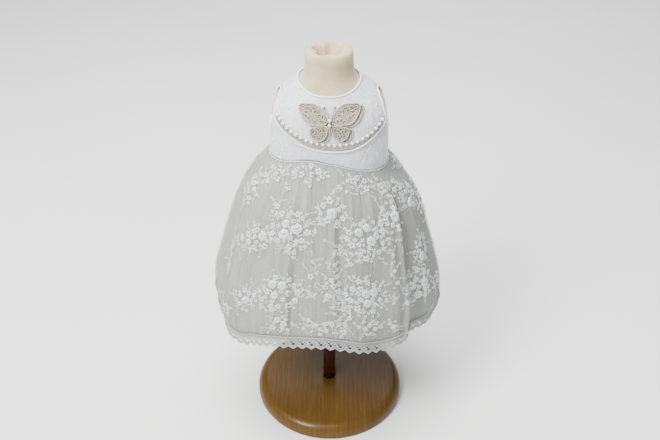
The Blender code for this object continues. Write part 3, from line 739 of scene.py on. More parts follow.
@dataclass(frozen=True)
class SatinUnderLace(Finish):
    """Bridal satin with a fine net laid over it: a smooth glow broken by a small mesh.

    Here and there a thread of the net glints: it is glossier there, and the glint is painted into
    its colour as white, a painted highlight.
    """

    light: str = "#DADDE1"
    dark: str = "#C3C7CC"
    mesh: float = 1.3 * MM
    painted_glint_pitch: float = 1.6 * MM

    def sockets(self, add: Adder) -> Inputs:
        """A net of cell edges in relief, clouds of lighter and darker tone, and small painted
        glints.
        """
        flat = add("UVMap", uv_map="flat")
        net = add("TexVoronoi", {"Vector": flat, "Scale": 1.0 / self.mesh, "Randomness": 0.35},
                  feature="DISTANCE_TO_EDGE")
        thread = add("MapRange", (net, 0.0, 0.16, 1.0, 0.0))
        cloud = add("TexNoise", {0: flat, "Scale": 140.0, "Detail": 4.0})
        colour = add("ValToRGB", (cloud,), stops=((0.3, self.dark), (0.7, self.light)))
        # Painted highlight: in a few cells the colour is mixed to white as a glint; the roughness
        # drops there too.
        glint = add("TexVoronoi", {"Vector": flat, "Scale": 1.0 / self.painted_glint_pitch})
        spark = add("MapRange", (glint.node.outputs["Color"], 0.80, 0.88, 0.0, 1.0))
        dot = add("MapRange", (glint, 0.18, 0.30, 1.0, 0.0))
        painted_glint = add("Math", (spark, dot), operation="MULTIPLY")
        return {
            "Base Color": add("Mix", {0: painted_glint, 6: colour, 7: linear("#FFFFFF")}, 2,
                              data_type="RGBA"),
            "Roughness": add("MapRange", (painted_glint, 0.0, 1.0, 0.46, 0.15)),
            "Normal": add("Bump", {"Height": thread, "Distance": 0.10 * MM}),
            "Sheen Weight": 0.15, "Sheen Roughness": 0.4,
        }


@dataclass(frozen=True)
class SatinCord(Finish):
    """Satin cut on the bias and rolled over a cord: close diagonal threads, soft gloss."""

    light: str = "#F1F3F4"
    dark: str = "#DDE0E3"
    thread: float = 0.5 * MM

    def sockets(self, add: Adder) -> Inputs:
        """Diagonal thread ridges over the roll, with painted shade in the grooves between them."""
        lines = add("TexWave", {
            0: add("TexCoord", out="Object"), "Scale": WAVE_PERIOD / self.thread,
            "Distortion": 0.8,
        }, "Fac", bands_direction="DIAGONAL")
        # Painted shade: the colour darkens where the lines are low, between the threads.
        return {
            "Base Color": add("ValToRGB", (lines,), stops=((0.2, self.dark), (0.8, self.light))),
            "Normal": add("Bump", {"Height": lines, "Distance": 0.06 * MM}),
            "Roughness": add("MapRange", (lines, 0.0, 1.0, 0.48, 0.36)),
            "Sheen Weight": 0.1, "Sheen Roughness": 0.4,
        }


@dataclass(frozen=True)
class SpunThread(Finish):
    """Spun or embroidery thread laid side by side: fine ridges along it, low gloss."""

    light: str
    dark: str
    rough: float = 0.6
    thread: float = 0.35 * MM
    sheen: float = 0.3
    clouds: float = 400.0

    def sockets(self, add: Adder) -> Inputs:
        """Ridges along the flat map's second axis, painted shade in the grooves between them, and a
        cloudy tone.
        """
        ridges = add("TexWave", {
            0: add("UVMap", uv_map="flat"), "Scale": WAVE_PERIOD / self.thread,
            "Distortion": 1.2, "Detail": 1.0,
        }, "Fac", bands_direction="X")
        cloud = add("TexNoise", {
            0: add("TexCoord", out="Object"), "Scale": self.clouds, "Detail": 2.0,
        })
        # Painted shade: the colour darkens where the ridges are low, in the grooves between
        # threads; the cloud adds random tone.
        tone = add("Math", (ridges, 0.4, cloud), operation="MULTIPLY_ADD")
        tone = add("MapRange", (tone, 0.35, 1.0, 0.0, 1.0))
        return {
            "Base Color": add("ValToRGB", (tone,), stops=((0.0, self.dark), (0.8, self.light))),
            "Normal": add("Bump", {"Height": ridges, "Distance": 0.10 * MM}),
            "Roughness": add("MapRange", (ridges, 0.0, 1.0, self.rough + 0.06,
                                          self.rough - 0.06)),
            "Sheen Weight": self.sheen, "Sheen Roughness": 0.4,
        }


@dataclass(frozen=True)
class CottonLace(Finish):
    """Cotton bobbin lace: bundles of thread crossing, matt, a little shade between them."""

    light: str = "#A9ABAA"
    dark: str = "#5C6163"
    bundle: float = 1.1 * MM

    def sockets(self, add: Adder) -> Inputs:
        """Two diagonal sets of thread bundles, in relief, with painted shade between the bundles in
        the colour.
        """
        flat = add("UVMap", uv_map="flat")
        sets = [
            add("TexWave", {
                0: add("Mapping", {0: flat, "Rotation": (0, 0, turn)}),
                "Scale": WAVE_PERIOD / self.bundle, "Distortion": 1.0,
            }, "Fac", bands_direction="X")
            for turn in (0.9, -0.9)
        ]
        weave = add("Math", tuple(sets), operation="MAXIMUM")
        # Painted shade: the colour darkens between the bundles, down to the dark stop.
        return {
            "Base Color": add("ValToRGB", (weave,), stops=((0.15, self.dark), (0.7, self.light))),
            "Normal": add("Bump", {"Height": weave, "Distance": 0.25 * MM}),
            "Roughness": add("MapRange", (weave, 0.0, 1.0, 0.95, 0.80)),
            "Sheen Weight": 0.2, "Sheen Roughness": 0.5,
        }


@dataclass(frozen=True)
class Tulle(Finish):
    """Nylon tulle: a fine hexagonal net, sheer, denser where it bunches down the gathers.

    Its holes are drawn 1.4 mm apart, a little coarser than they are.
    """

    colour: str
    shade: str
    cover: float
    mesh: float = 1.4 * MM
    streak: float = 0.10

    def sockets(self, add: Adder) -> Inputs:
        """Alpha from the net's threads and from streaks down the cloth."""
        flat = add("UVMap", uv_map="flat")
        net = add("TexVoronoi", {"Vector": flat, "Scale": 1.0 / self.mesh, "Randomness": 0.2},
                  feature="DISTANCE_TO_EDGE")
        thread = add("MapRange", (net, 0.05, 0.25, 0.12, -0.06))
        bunch = add("TexNoise", {
            0: add("Mapping", {0: flat, "Scale": (1.0, 0.05, 1.0)}), "Scale": 330.0,
            "Detail": 3.0, "Roughness": 0.6,
        })
        streak = add("MapRange", (bunch, 0.3, 0.7, -self.streak, self.streak))
        total = add("Math", (thread, streak), operation="ADD")
        # A wall is crossed twice, so each of its faces takes the root of the light.
        face = 1.0 - math.sqrt(1.0 - self.cover)
        return {
            "Alpha": add("Math", (total, face), operation="ADD", use_clamp=True),
            "Base Color": add("ValToRGB", (bunch,), stops=((0.3, self.shade), (0.7, self.colour))),
            "Roughness": 0.8, "Sheen Weight": 0.04, "Sheen Roughness": 0.4,
        }


@dataclass(frozen=True)
class Batiste(Finish):
    """Cotton batiste, a fine plain weave: matt, nearly opaque, slightly slubbed."""

    light: str = "#A0A29F"
    dark: str = "#8E908C"
    thread: float = 0.7 * MM

    def sockets(self, add: Adder) -> Inputs:
        """Slubs down and across the weave."""
        flat = add("UVMap", uv_map="flat")
        slubs = [
            add("TexNoise", {
                0: add("Mapping", {0: flat, "Scale": scale}), "Scale": 1.0 / self.thread,
                "Detail": 2.0,
            })
            for scale in ((1.0, 0.08, 1.0), (0.08, 1.0, 1.0))
        ]
        both = add("Math", tuple(slubs), operation="ADD")
        tone = add("MapRange", (both, 0.7, 1.3, 0.0, 1.0))
        return {
            "Base Color": add("ValToRGB", (tone,), stops=((0.0, self.dark), (1.0, self.light))),
            "Normal": add("Bump", {"Height": both, "Distance": 0.08 * MM}),
            "Roughness": add("MapRange", (both, 0.7, 1.3, 0.88, 0.78)),
            "Sheen Weight": 0.1, "Sheen Roughness": 0.5,
        }


@dataclass(frozen=True)
class Pearl(Finish):
    """Glass bead under pearl lacquer: a hard clear gloss over a soft cream glow, its rim darkened
    by painted shade.
    """

    light: str = "#FBF9F4"
    dark: str = "#E2DCCF"

    def sockets(self, add: Adder) -> Inputs:
        """Painted shade: the rim, where the bead turns from the view, is darker than the middle;
        random tone and a clear coat over it.
        """
        # Painted shade at the rim: the colour darkens as the surface turns away from the view.
        painted_rim_shade = add("LayerWeight", {"Blend": 0.35}, "Facing")
        cloud = add("TexNoise", {0: add("TexCoord", out="Object"), "Scale": 900.0, "Detail": 1.0})
        tone = add("Math", (cloud, 0.4, painted_rim_shade), operation="MULTIPLY_ADD")
        return {
            "Base Color": add("ValToRGB", (tone,), stops=((0.1, self.light), (0.9, self.dark))),
            "Roughness": add("MapRange", (cloud, 0.3, 0.7, 0.20, 0.28)),
            "Coat Weight": 0.8, "Coat Roughness": 0.05, "IOR": 1.55,
        }


@dataclass(frozen=True)
class SilverBead(Finish):
    """Silver-lined glass seed bead: grey, bright on its rim."""

    light: str = "#9C9A94"
    dark: str = "#4E4B46"

    def sockets(self, add: Adder) -> Inputs:
        """Metal glow under glass, uneven from bead to bead."""
        cloud = add("TexNoise", {0: add("TexCoord", out="Object"), "Scale": 300.0})
        return {
            "Base Color": add("ValToRGB", (cloud,), stops=((0.3, self.dark), (0.7, self.light))),
            "Roughness": add("MapRange", (cloud, 0.3, 0.7, 0.22, 0.38)),
            "Metallic": 0.6,
        }


@dataclass(frozen=True)
class PaintedFloor(Finish):
    """Matt white board, faintly clouded."""

    light: str = "#E8E8E8"
    dark: str = "#E4E4E4"

    def sockets(self, add: Adder) -> Inputs:
        """Slow clouds, no gloss."""
        cloud = add("TexNoise", {0: add("TexCoord", out="Object"), "Scale": 3.0})
        return {
            "Base Color": add("ValToRGB", (cloud,), stops=((0.3, self.dark), (0.7, self.light))),
            "Roughness": 0.95, "Specular IOR Level": 0.1,
        }


OAK = VarnishedOak("oak_satin_varnish")
BEECH = DarkBeech("beech_dark_red_brown")
JERSEY = CottonJersey("cotton_jersey_cream")
SATIN = SatinUnderLace("bridal_satin_under_net")
PIPING = SatinCord("satin_bias_cord")
EMBROIDERY = SpunThread("rayon_embroidery_white", "#E2E5E6", "#D1D5D6", 0.55, 0.35 * MM, 0.25)
SCROLLS = SpunThread("rayon_scroll_white", "#F8FAFB", "#E2E6EA", 0.42, 0.30 * MM, 0.3)
GIMP = SpunThread("cotton_gimp_ivory", "#D2CCBB", "#989079", 0.72, 0.30 * MM, 0.3)
WING_CORD = SpunThread("cotton_cord_ivory", "#CEC8B7", "#968E76", 0.72, 0.28 * MM, 0.3)
# The wings' ivory lace fill is coloured dark brown: painted shade for the shadowed gaps between the
# cords.
SHADED_WING_NET = SpunThread("needle_lace_ivory_painted_shade", "#857E6B", "#59533F", 0.85, 0.60 * MM, 0.2)
HEM_THREAD = CottonLace("cotton_lace_white")
OUTER_TULLE = Tulle("nylon_tulle_sheer", "#C0C2BF", "#ADAFAC", 0.36)
UNDER_TULLE = Tulle("nylon_tulle_plain", "#AFB1AE", "#9D9F9B", 0.50)
LINING = Batiste("cotton_batiste_white")
PEARLS = Pearl("pearl_lacquer_cream")
SILVER = SilverBead("seed_bead_silver")
FLOOR = PaintedFloor("painted_board")


class Slot(Enum):
    """The record's material slots."""

    OAK = "oak"
    POLE = "pole_wood"
    JERSEY = "jersey"
    BODICE = "bodice_lace"
    BINDING = "binding"
    PIPING = "piping"
    BRAID = "braid"
    PEARL = "pearl"
    BUTTERFLY = "butterfly_lace"
    TULLE = "embroidered_tulle"
    PLAIN_TULLE = "plain_tulle"
    LINING = "lining"
    HEM = "hem_lace"


def place_piece(bundle: Bundle, name: str, finish: Finish, slot: Slot, *stands_for: str,
                wall: float = 0.0) -> Piece:
    """Make a bundle a finished piece, tied to the body.

    Args:
        bundle: its faces.
        name: the new object's name.
        finish: its finish.
        slot: the record's slot; not used.
        stands_for: names of the solids that it replaces.
        wall: a sheet's thickness, inwards from its outer face.

    Returns:
        The piece.
    """
    piece = bundle.mesh(name)
    if wall:
        maker = piece.modifiers.new("wall", "SOLIDIFY")
        maker.thickness, maker.offset, maker.use_rim = wall, -1.0, True
    piece.data.materials.append(finish.material())
    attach(piece, BODY)
    if stands_for:
        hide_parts(*stands_for)
    log.info("%s: %d faces", piece.name, len(piece.data.polygons))
    return piece


# -------------------------------------------------------------------------------- stand

@dataclass
class Stand:
    """Turned base and the pole that stands in it."""

    base_radius: float = 0.110
    base_height: float = 0.022
    top_round: float = 0.014
    foot_round: float = 0.004
    mouth_round: float = 0.6 * MM
    # where the flat top and foot have rings of points, for an even shade
    top_rings: tuple[float, ...] = (0.080, 0.055, 0.030)
    pole_radius: float = 0.009
    pole_round: float = 0.5 * MM
    pole_rings: tuple[float, ...] = (0.3, 0.6, 0.9)
    socket_depth: float = 0.010
    pole_top: float = 0.2397
    gap: float = 0.3 * MM
    base_steps: int = 144
    pole_steps: int = 48

    @staticmethod
    def arc(radius: float, height: float, size: float, start: float, end: float, count: int
            ) -> list[tuple[float, float]]:
        """(radius, height) rows on an arc round a point, angles in degrees."""
        turns = np.radians(np.linspace(start, end, count))
        return [(radius + size * math.cos(t), height + size * math.sin(t)) for t in turns]

    def build(self) -> None:
        """Make the base and the pole."""
        socket = self.pole_radius + self.gap
        top, floor = self.base_height, self.base_height - self.socket_depth
        base = [
            (0.0, 0.0), (self.base_radius * 0.5, 0.0),
            *self.arc(self.base_radius - self.foot_round, self.foot_round, self.foot_round,
                      -90, 0, 7),
            *self.arc(self.base_radius - self.top_round, top - self.top_round, self.top_round,
                      0, 90, 15),
            *((radius, top) for radius in self.top_rings),
            *self.arc(socket + self.mouth_round, top - self.mouth_round, self.mouth_round,
                      90, 180, 4),
            (socket, floor), (0.0, floor),
        ]
        radius, low, high, ease = self.pole_radius, floor + self.gap, self.pole_top, self.pole_round
        pole = [
            (0.0, low), (radius - ease, low), (radius, low + ease),
            *((radius, low + (high - low) * share) for share in self.pole_rings),
            (radius, high - ease), (radius - ease, high), (0.0, high),
        ]
        for name, profile, steps, finish, slot, node in (
            ("oak_base", base, self.base_steps, OAK, Slot.OAK, "stand_base"),
            ("beech_pole", pole, self.pole_steps, BEECH, Slot.POLE, "stand_pole"),
        ):
            bundle = Bundle()
            turned_solid(bundle, profile, steps, np.zeros(3), np.array([0, 0, 1.0]))
            place_piece(bundle, name, finish, slot, node)


@dataclass
class JerseyForm:
    """Foam torso covered in jersey, whose end is tucked into a hole in the neck."""

    guide: FormGuide
    columns: int = 224
    flat_radius: float = 0.03
    # heights of the skin's ends and of where its rows get closer, rows up to each
    levels: Table = ((0.2400, 1), (0.2700, 6), (0.5000, 24), (0.5530, 26))
    # height, radius: the jersey over the rim and down the hole
    lip: Table = (
        (0.5583, 0.0279), (0.5601, 0.0264), (0.5610, 0.0243), (0.5609, 0.0219),
        (0.5599, 0.0196), (0.5576, 0.0175), (0.5540, 0.0155), (0.5494, 0.0132),
        (0.5450, 0.0104), (0.5412, 0.0070), (0.5390, 0.0030),
    )
    # middle in degrees, spread in degrees, depth as a share of the radius: pleats of the tuck
    pleats: Table = (
        (10, 13, 0.34), (48, 10, -0.22), (80, 15, 0.30), (118, 11, -0.20), (150, 13, 0.36),
        (196, 12, -0.24), (228, 16, 0.30), (268, 10, -0.22), (300, 14, 0.36), (336, 10, -0.18),
    )
    twist: float = math.radians(38)
    pleat_start: float = 0.22
    pleat_growth: float = 0.40
    pleat_rise: float = 2.2 * MM
    pleat_sink: float = 0.6 * MM

    def build(self) -> None:
        """Make the covered torso as one closed surface."""
        starts = self.levels[:-1]
        heights = np.concatenate([[self.levels[0][0]], *(
            np.linspace(low, high, rows)[1:]
            for (low, _), (high, rows) in zip(starts, self.levels[1:])
        )])
        angles = all_round(self.columns, -math.pi)
        skin = self.guide.ring(*np.meshgrid(angles, heights))
        lip = np.array(self.lip)
        inward = np.arange(len(lip))[:, None] / (len(lip) - 1)
        wave = np.zeros((len(lip), self.columns))
        for middle, spread, depth in self.pleats:
            away = wrapped(angles + self.twist * inward, math.radians(middle))
            wave += depth * np.exp(-2.0 * (away / math.radians(spread)) ** 2)
        grow = smooth_step((inward - self.pleat_start) / self.pleat_growth)
        radius = lip[:, 1:] * (1 - wave * grow)
        x, y = radius * np.sin(angles), -radius * np.cos(angles)
        z = lip[:, :1] + self.pleat_rise * wave * grow * (1 - inward) - self.pleat_sink * grow
        points = np.concatenate([skin, np.stack([x, y, z], -1)])
        gone = travelled(points[:, 0])[:, None]
        flat = side_by_side(angles * self.flat_radius, gone)
        bundle = Bundle()
        bundle.grid(points, flat, False, True, (math.tau * self.flat_radius, 0.0))
        ring = np.arange(self.columns)[None]
        bundle.cap(ring + (len(points) - 1) * self.columns)
        bundle.cap(ring[:, ::-1])
        place_piece(bundle, "jersey_form", JERSEY, Slot.JERSEY, "form_torso")


# ------------------------------------------------------------------------------- bodice

@dataclass
class Bodice:
    """Front yoke and midriff, back panels with their placket, bindings and piping."""

    guide: FormGuide
    # how far the panels' edges lie outside the armholes and under the neckline
    arm_edge: float = 1.4 * MM
    neck_edge: float = 1.2 * MM
    waist_edge_rise: float = 0.3 * MM
    # how far the trim along the yoke seam keeps outside the armholes
    trim_edge: float = 3.0 * MM
    seam: float = 0.05 * MM
    wall: float = 0.6 * MM
    flat_radius: float = 0.062
    # rows of points: each count below is a few times this
    dense: int = 4
    strap_rows: int = 12
    binding_radius: float = 1.2 * MM
    piping_radius: float = 1.1 * MM
    # half the gap at the centre back, as an angle
    opening: float = 0.3 * MM / 0.056
    lay: float = 0.5 * MM
    placket_width: float = 14.0 * MM
    placket_crown: float = 0.35 * MM
    stitch_pitch: float = 3.4 * MM
    stitch_length: float = 2.2 * MM
    stitch_inset: float = 1.6 * MM
    button_heights: tuple[float, ...] = (0.512, 0.482, 0.450)
    button_radius: float = 4.2 * MM
    # the lace's curls: pitch of the spiral, least distance, and what the butterfly covers
    curl_pitch: float = 0.46 * MM
    curl_gap: float = 7.6 * MM
    leaf_length: float = 3.4 * MM
    fly_field: tuple[float, ...] = (33 * MM, 0.4700, 0.5070)
    # soft drag lines: (angle deg, height, spread deg, spread m, rise): worked into the cloth
    drags: Table = (
        (-34, 0.4480, 9, 0.0110, 0.0006), (-12, 0.4430, 12, 0.0050, -0.0005),
        (16, 0.4440, 14, 0.0045, 0.0006), (36, 0.4500, 9, 0.0100, -0.0006),
        (58, 0.4600, 8, 0.0120, 0.0007), (-58, 0.4620, 8, 0.0120, -0.0006),
        (-48, 0.4960, 10, 0.0080, 0.0005), (44, 0.4980, 10, 0.0080, 0.0004),
        (-20, 0.5080, 14, 0.0040, -0.0004), (24, 0.5060, 14, 0.0040, 0.0004),
        (130, 0.4700, 12, 0.0120, 0.0007), (150, 0.4480, 10, 0.0100, -0.0006),
        (-128, 0.4660, 12, 0.0110, 0.0007), (-152, 0.4520, 10, 0.0100, -0.0006),
        (112, 0.4450, 9, 0.0090, -0.0005), (-108, 0.4480, 9, 0.0090, 0.0005),
    )

    def drag(self, angle: Array, height: Array) -> Array:
        """How far the cloth's drag lines stand off: a sum of soft oval bumps."""
        total = np.zeros(np.broadcast(angle, height).shape)
        for middle, level, spread, tall, rise in self.drags:
            a = wrapped(angle, math.radians(middle)) / math.radians(spread)
            total = total + rise * np.exp(-a * a - ((height - level) / tall) ** 2)
        return total

    def surface(self, angle: Array, height: Array, lift: Array | float) -> Array:
        """Point above the bodice's outer face, with its drag lines."""
        return self.guide.bodice(angle, height, self.drag(angle, height) + lift)

    def seam_angle(self, back: bool) -> float:
        """Angle of a panel's edge at the side and shoulder seams."""
        half = self.seam / self.guide.half_width
        return math.pi / 2 + (half if back else -half)

    def armhole_edge(self, side: int, start: float, end: float, count: int, back: bool = False
                     ) -> Array:
        """Rows of (angle, height) along a panel's edge at the armhole."""
        turns = np.linspace(start, end, count)
        angle, height = self.guide.armhole(side, turns, self.arm_edge, back)
        limit = self.seam_angle(back)
        size = np.maximum(np.abs(angle), limit) if back else np.minimum(np.abs(angle), limit)
        return np.stack([side * size, height], -1)

    def meeting_turn(self, side: int) -> float:
        """Turn on an armhole's front edge where it meets the yoke seam."""
        turns = np.linspace(-math.pi / 2, math.pi / 2, 4001)
        angle, height = self.guide.armhole(side, turns, self.arm_edge)
        return float(turns[np.argmin(np.abs(height - self.guide.yoke_seam(angle)))])

    def top_edge(self, angles: Array, back: bool = False) -> Array:
        """Rows up the shoulder seam, along the neck and, in front, down again."""
        guide = self.guide
        height = guide.neckline(angles)
        step = 1e-4
        rise = guide.ring(angles, height + step) - guide.ring(angles, height - step)
        height = height - self.neck_edge * 2 * step / np.linalg.norm(rise, axis=-1)
        edge = np.stack([angles, height], -1)
        tip = guide.arm_middle + guide.arm_half_height + self.arm_edge

        def shoulder(corner: Array) -> Array:
            """Rows from the armhole's top to just short of the neck's corner."""
            levels = np.linspace(tip, corner[1], self.strap_rows + 1)[:-1]
            return np.stack([np.full(self.strap_rows, corner[0]), levels], -1)

        rows = [shoulder(edge[0]), edge]
        if not back:
            rows.append(shoulder(edge[-1])[::-1])
        return np.concatenate(rows)

    def waist_edge(self, angles: Array) -> Array:
        """Rows along the bodice's lower edge."""
        return np.stack([angles, self.guide.waist(angles) + self.waist_edge_rise], -1)

    @staticmethod
    def fill(bottom: Array, top: Array, left: Array, right: Array) -> Array:
        """Coons patch: the two ruled sheets of opposite edges, less that of the corners."""
        u = np.linspace(0, 1, len(bottom))[None, :, None]
        v = np.linspace(0, 1, len(left))[:, None, None]
        ruled = (
            (1 - v) * bottom[None] + v * top[None] + (1 - u) * left[:, None] + u * right[:, None]
        )
        corners = (
            (1 - u) * (1 - v) * bottom[0] + u * (1 - v) * bottom[-1]
            + (1 - u) * v * top[0] + u * v * top[-1]
        )
        return ruled - corners

    def panel(self, name: str, plan: Array, stands_for: str) -> Piece:
        """Make a panel from its (angle, height) plan."""
        angle, height = plan[..., 0], plan[..., 1]
        bundle = Bundle()
        flat = np.stack([angle * self.flat_radius, height], -1)
        bundle.grid(self.surface(angle, height, 0.0), flat)
        return place_piece(bundle, name, SATIN, Slot.BODICE, stands_for, wall=self.wall)

    def front(self) -> dict[str, Piece]:
        """Yoke and midriff, parted by the curved seam."""
        guide, dense = self.guide, self.dense
        limit = self.seam_angle(False)
        columns, arm_rows = 24 + 14 * dense, 7 * dense + 1
        low_left, low_right = self.meeting_turn(-1), self.meeting_turn(1)
        left = self.armhole_edge(-1, low_left, math.pi / 2, arm_rows)
        right = self.armhole_edge(1, low_right, math.pi / 2, arm_rows)
        seam_angles = np.linspace(left[0, 0], right[0, 0], columns)
        seam = np.stack([seam_angles, guide.yoke_seam(seam_angles)], -1)
        bottom = np.concatenate([left[:1], seam[1:-1], right[:1]])
        top = self.top_edge(np.linspace(-limit, limit, columns - 2 * self.strap_rows))
        yoke = self.panel("yoke_panel", self.fill(bottom, top, left, right), "front_yoke")

        under_rows, side_rows = 3 * dense + 1, 4 * dense
        under_left = self.armhole_edge(-1, -math.pi / 2, low_left, under_rows)
        under_right = self.armhole_edge(1, low_right, -math.pi / 2, under_rows)
        top = np.concatenate([under_left, seam[1:-1], under_right])
        bottom = self.waist_edge(np.linspace(-limit, limit, len(top)))
        left = np.linspace(bottom[0], top[0], side_rows)
        right = np.linspace(bottom[-1], top[-1], side_rows)
        midriff = self.panel("midriff_panel", self.fill(bottom, top, left, right),
                             "front_midriff")
        return {"yoke": yoke, "midriff": midriff}

    def back(self, side: int, name: str, stands_for: str) -> Piece:
        """Back panel from the side seam to the centre-back opening."""
        dense = self.dense
        edge, centre = self.seam_angle(True), math.pi - self.opening
        columns, arm_rows, side_rows = 12 * dense, 8 * dense + 1, 3 * dense + 1
        bottom = self.waist_edge(side * np.linspace(edge, centre, columns))
        top = self.top_edge(side * np.linspace(edge, centre, columns - self.strap_rows), True)
        arm = self.armhole_edge(side, -math.pi / 2, math.pi / 2, arm_rows, True)
        outer = np.concatenate([np.linspace(bottom[0], arm[0], side_rows)[:-1], arm])
        outer[-1] = top[0]
        inner = np.linspace(bottom[-1], top[-1], len(outer))
        if side > 0:
            plan = self.fill(bottom, top, outer, inner)
        else:
            plan = self.fill(bottom[::-1], top[::-1], inner, outer)
        return self.panel(name, plan, stands_for)

    def above(self, angles: Array, heights: Array) -> Place:
        """Path on the bodice, for a lift above it."""
        return partial(self.surface, angles, heights)

    def bindings(self) -> None:
        """Rolled bindings of the neck and both armholes."""
        guide = self.guide
        clear = self.binding_radius + guide.body_gap
        roll = Rope(self.binding_radius, strands=1, sides=14, step=0.8 * MM)
        angles = np.linspace(-math.pi + 0.017, math.pi - 0.017, 240)
        turns = math.pi - all_round(120)
        for name, stands_for, line, closed in (
            ("neck_roll", "neck_binding", (angles, guide.neckline(angles)), False),
            ("armhole_roll_right", "armhole_binding_right", guide.armhole(-1, turns, 0.0), True),
            ("armhole_roll_left", "armhole_binding_left", guide.armhole(1, turns, 0.0), True),
        ):
            bundle = Bundle()
            roll.lay(bundle, partial(guide.skin, *line), clear, closed)
            place_piece(bundle, name, PIPING, Slot.BINDING, stands_for)

    def yoke_span(self, margin: float) -> tuple[float, float]:
        """First and last angle of what lies along the yoke seam."""
        first, last = (
            float(self.guide.armhole(side, self.meeting_turn(side), self.trim_edge)[0])
            for side in (-1, 1)
        )
        return first + margin, last - margin

    def piping(self) -> Piece:
        """Corded satin piping over the yoke seam."""
        margin = (self.piping_radius + self.binding_radius) / self.guide.half_width
        angles = np.linspace(*self.yoke_span(margin), 220)
        bundle = Bundle()
        rope = Rope(self.piping_radius, strands=2, pitch=4.2 * MM, depth=0.16, sides=14,
                    step=0.5 * MM)
        rope.lay(bundle, self.above(angles, self.guide.yoke_seam(angles)),
                 self.piping_radius + 0.2 * MM)
        return place_piece(bundle, "seam_piping", PIPING, Slot.PIPING, "yoke_piping")

    def placket(self) -> list[Piece]:
        """Placket over the centre-back opening, its edge stitches and three buttons."""
        guide, half = self.guide, self.placket_width / 2
        low = float(guide.waist(np.array(math.pi))) + 0.6 * MM
        high = guide.neck_back - 2.6 * MM
        x, height = np.meshgrid(np.linspace(-half, half, 17), np.linspace(low, high, 90))
        crown = self.placket_crown * smooth_step((1 - np.abs(x) / half) / 0.25)
        bundle = Bundle()
        points = self.surface(math.pi + guide.angle_across(x, height), height,
                              self.lay + 0.5 * MM + crown)
        bundle.grid(points, np.stack([x, height], -1))
        made = [place_piece(bundle, "placket_strip", SATIN, Slot.BODICE, "back_placket",
                            wall=self.wall)]

        stitches = Bundle()
        rope = Rope(0.28 * MM, strands=1, sides=6, step=0.5 * MM)
        dip = 0.25 * MM * np.cos(np.linspace(-1, 1, 5) * math.pi / 2)
        for across in (self.stitch_inset - half, half - self.stitch_inset):
            for start in np.arange(low + 2 * MM, high - 3 * MM, self.stitch_pitch):
                levels = np.linspace(start, start + self.stitch_length, 5)
                turn = math.pi + guide.angle_across(np.full(5, across), levels)
                rope.lay(stitches, self.above(turn, levels), self.lay + 0.92 * MM + dip)
        made.append(place_piece(stitches, "placket_stitches", SCROLLS, Slot.BODICE))

        radius, rim = self.button_radius, 1.0 * MM
        profile = [(0.0, 0.0), (radius * 0.72, 0.0), (radius * 0.95, rim / 2)]
        profile += [(radius * math.cos(t), rim + radius * 0.5 * math.sin(t))
                    for t in np.linspace(0.05, math.pi / 2 - 0.08, 9)]
        profile += [(0.0, rim + radius * 0.5)]
        for number, level in enumerate(self.button_heights, start=1):
            place = self.above(np.array(math.pi), np.array(level))
            seat = place(self.lay + 0.9 * MM)
            bundle = Bundle()
            turned_solid(bundle, profile, 36, seat, place(self.lay + 10 * MM) - seat)
            made.append(place_piece(bundle, f"pearl_button_{number}", PEARLS, Slot.PEARL,
                                    f"back_button_{number}"))
        return made

    def scrollwork(self) -> list[Piece]:
        """Small corded curls and leaves of the lace, scattered over the panels.

        Each curl is an Archimedes spiral whose tail runs out into a stem.
        """
        rng = np.random.default_rng(11)
        guide = self.guide
        seam, waist, neck = guide.yoke_seam, guide.waist, guide.neckline
        rope = Rope(0.45 * MM, strands=1, sides=6, step=0.6 * MM)
        turns = np.linspace(0.5, 2.2 * math.pi, 26)
        tail = np.linspace(0, 1, 10)[1:]
        made = []
        # name, count, lower line and gap in mm, upper line and gap, first and last angle
        for name, count, low_line, low_gap, high_line, high_gap, limits in (
            ("yoke_scrolls", 34, seam, 13, neck, 9, (-1.15, 1.15)),
            ("midriff_scrolls", 52, waist, 6, seam, 7, (-1.15, 1.15)),
            ("back_scrolls_left", 46, waist, 4, neck, 5, (2.0, 2.98)),
            ("back_scrolls_right", 46, waist, 4, neck, 5, (-2.98, -2.0)),
        ):
            bundle = Bundle()
            placed: list[tuple[float, float]] = []
            for _ in range(count * 12):
                if len(placed) >= count:
                    break
                angle = float(rng.uniform(*limits))
                low = float(low_line(angle)) + low_gap * MM
                high = float(high_line(angle)) - high_gap * MM
                if high < low:
                    continue
                height = float(rng.uniform(low, high))
                x = guide.half_width * angle
                reach, under, over = self.fly_field
                if name == "yoke_scrolls" and abs(x) < reach and under < height < over:
                    continue
                if any(math.hypot(x - px, height - ph) < self.curl_gap for px, ph in placed):
                    continue
                placed.append((x, height))
                size = rng.uniform(0.8, 1.25) * self.curl_pitch
                hand, lean = rng.choice([-1, 1]), rng.uniform(0, math.tau)
                cx, cy = size * turns * np.cos(turns) * hand, size * turns * np.sin(turns)
                px = np.concatenate([cx, cx[-1] + hand * 3.4 * MM * tail])
                py = np.concatenate([cy, cy[-1] + 3.0 * MM * tail ** 2])
                angles = angle + (px * math.cos(lean) - py * math.sin(lean)) / guide.half_width
                heights = height + px * math.sin(lean) + py * math.cos(lean)
                rope.lay(bundle, self.above(angles, heights), 0.05 * MM)
                self.leaf(bundle, angles[-1], heights[-1], lean + hand * 0.7)
            made.append(place_piece(bundle, name, SCROLLS, Slot.BODICE))
        return made

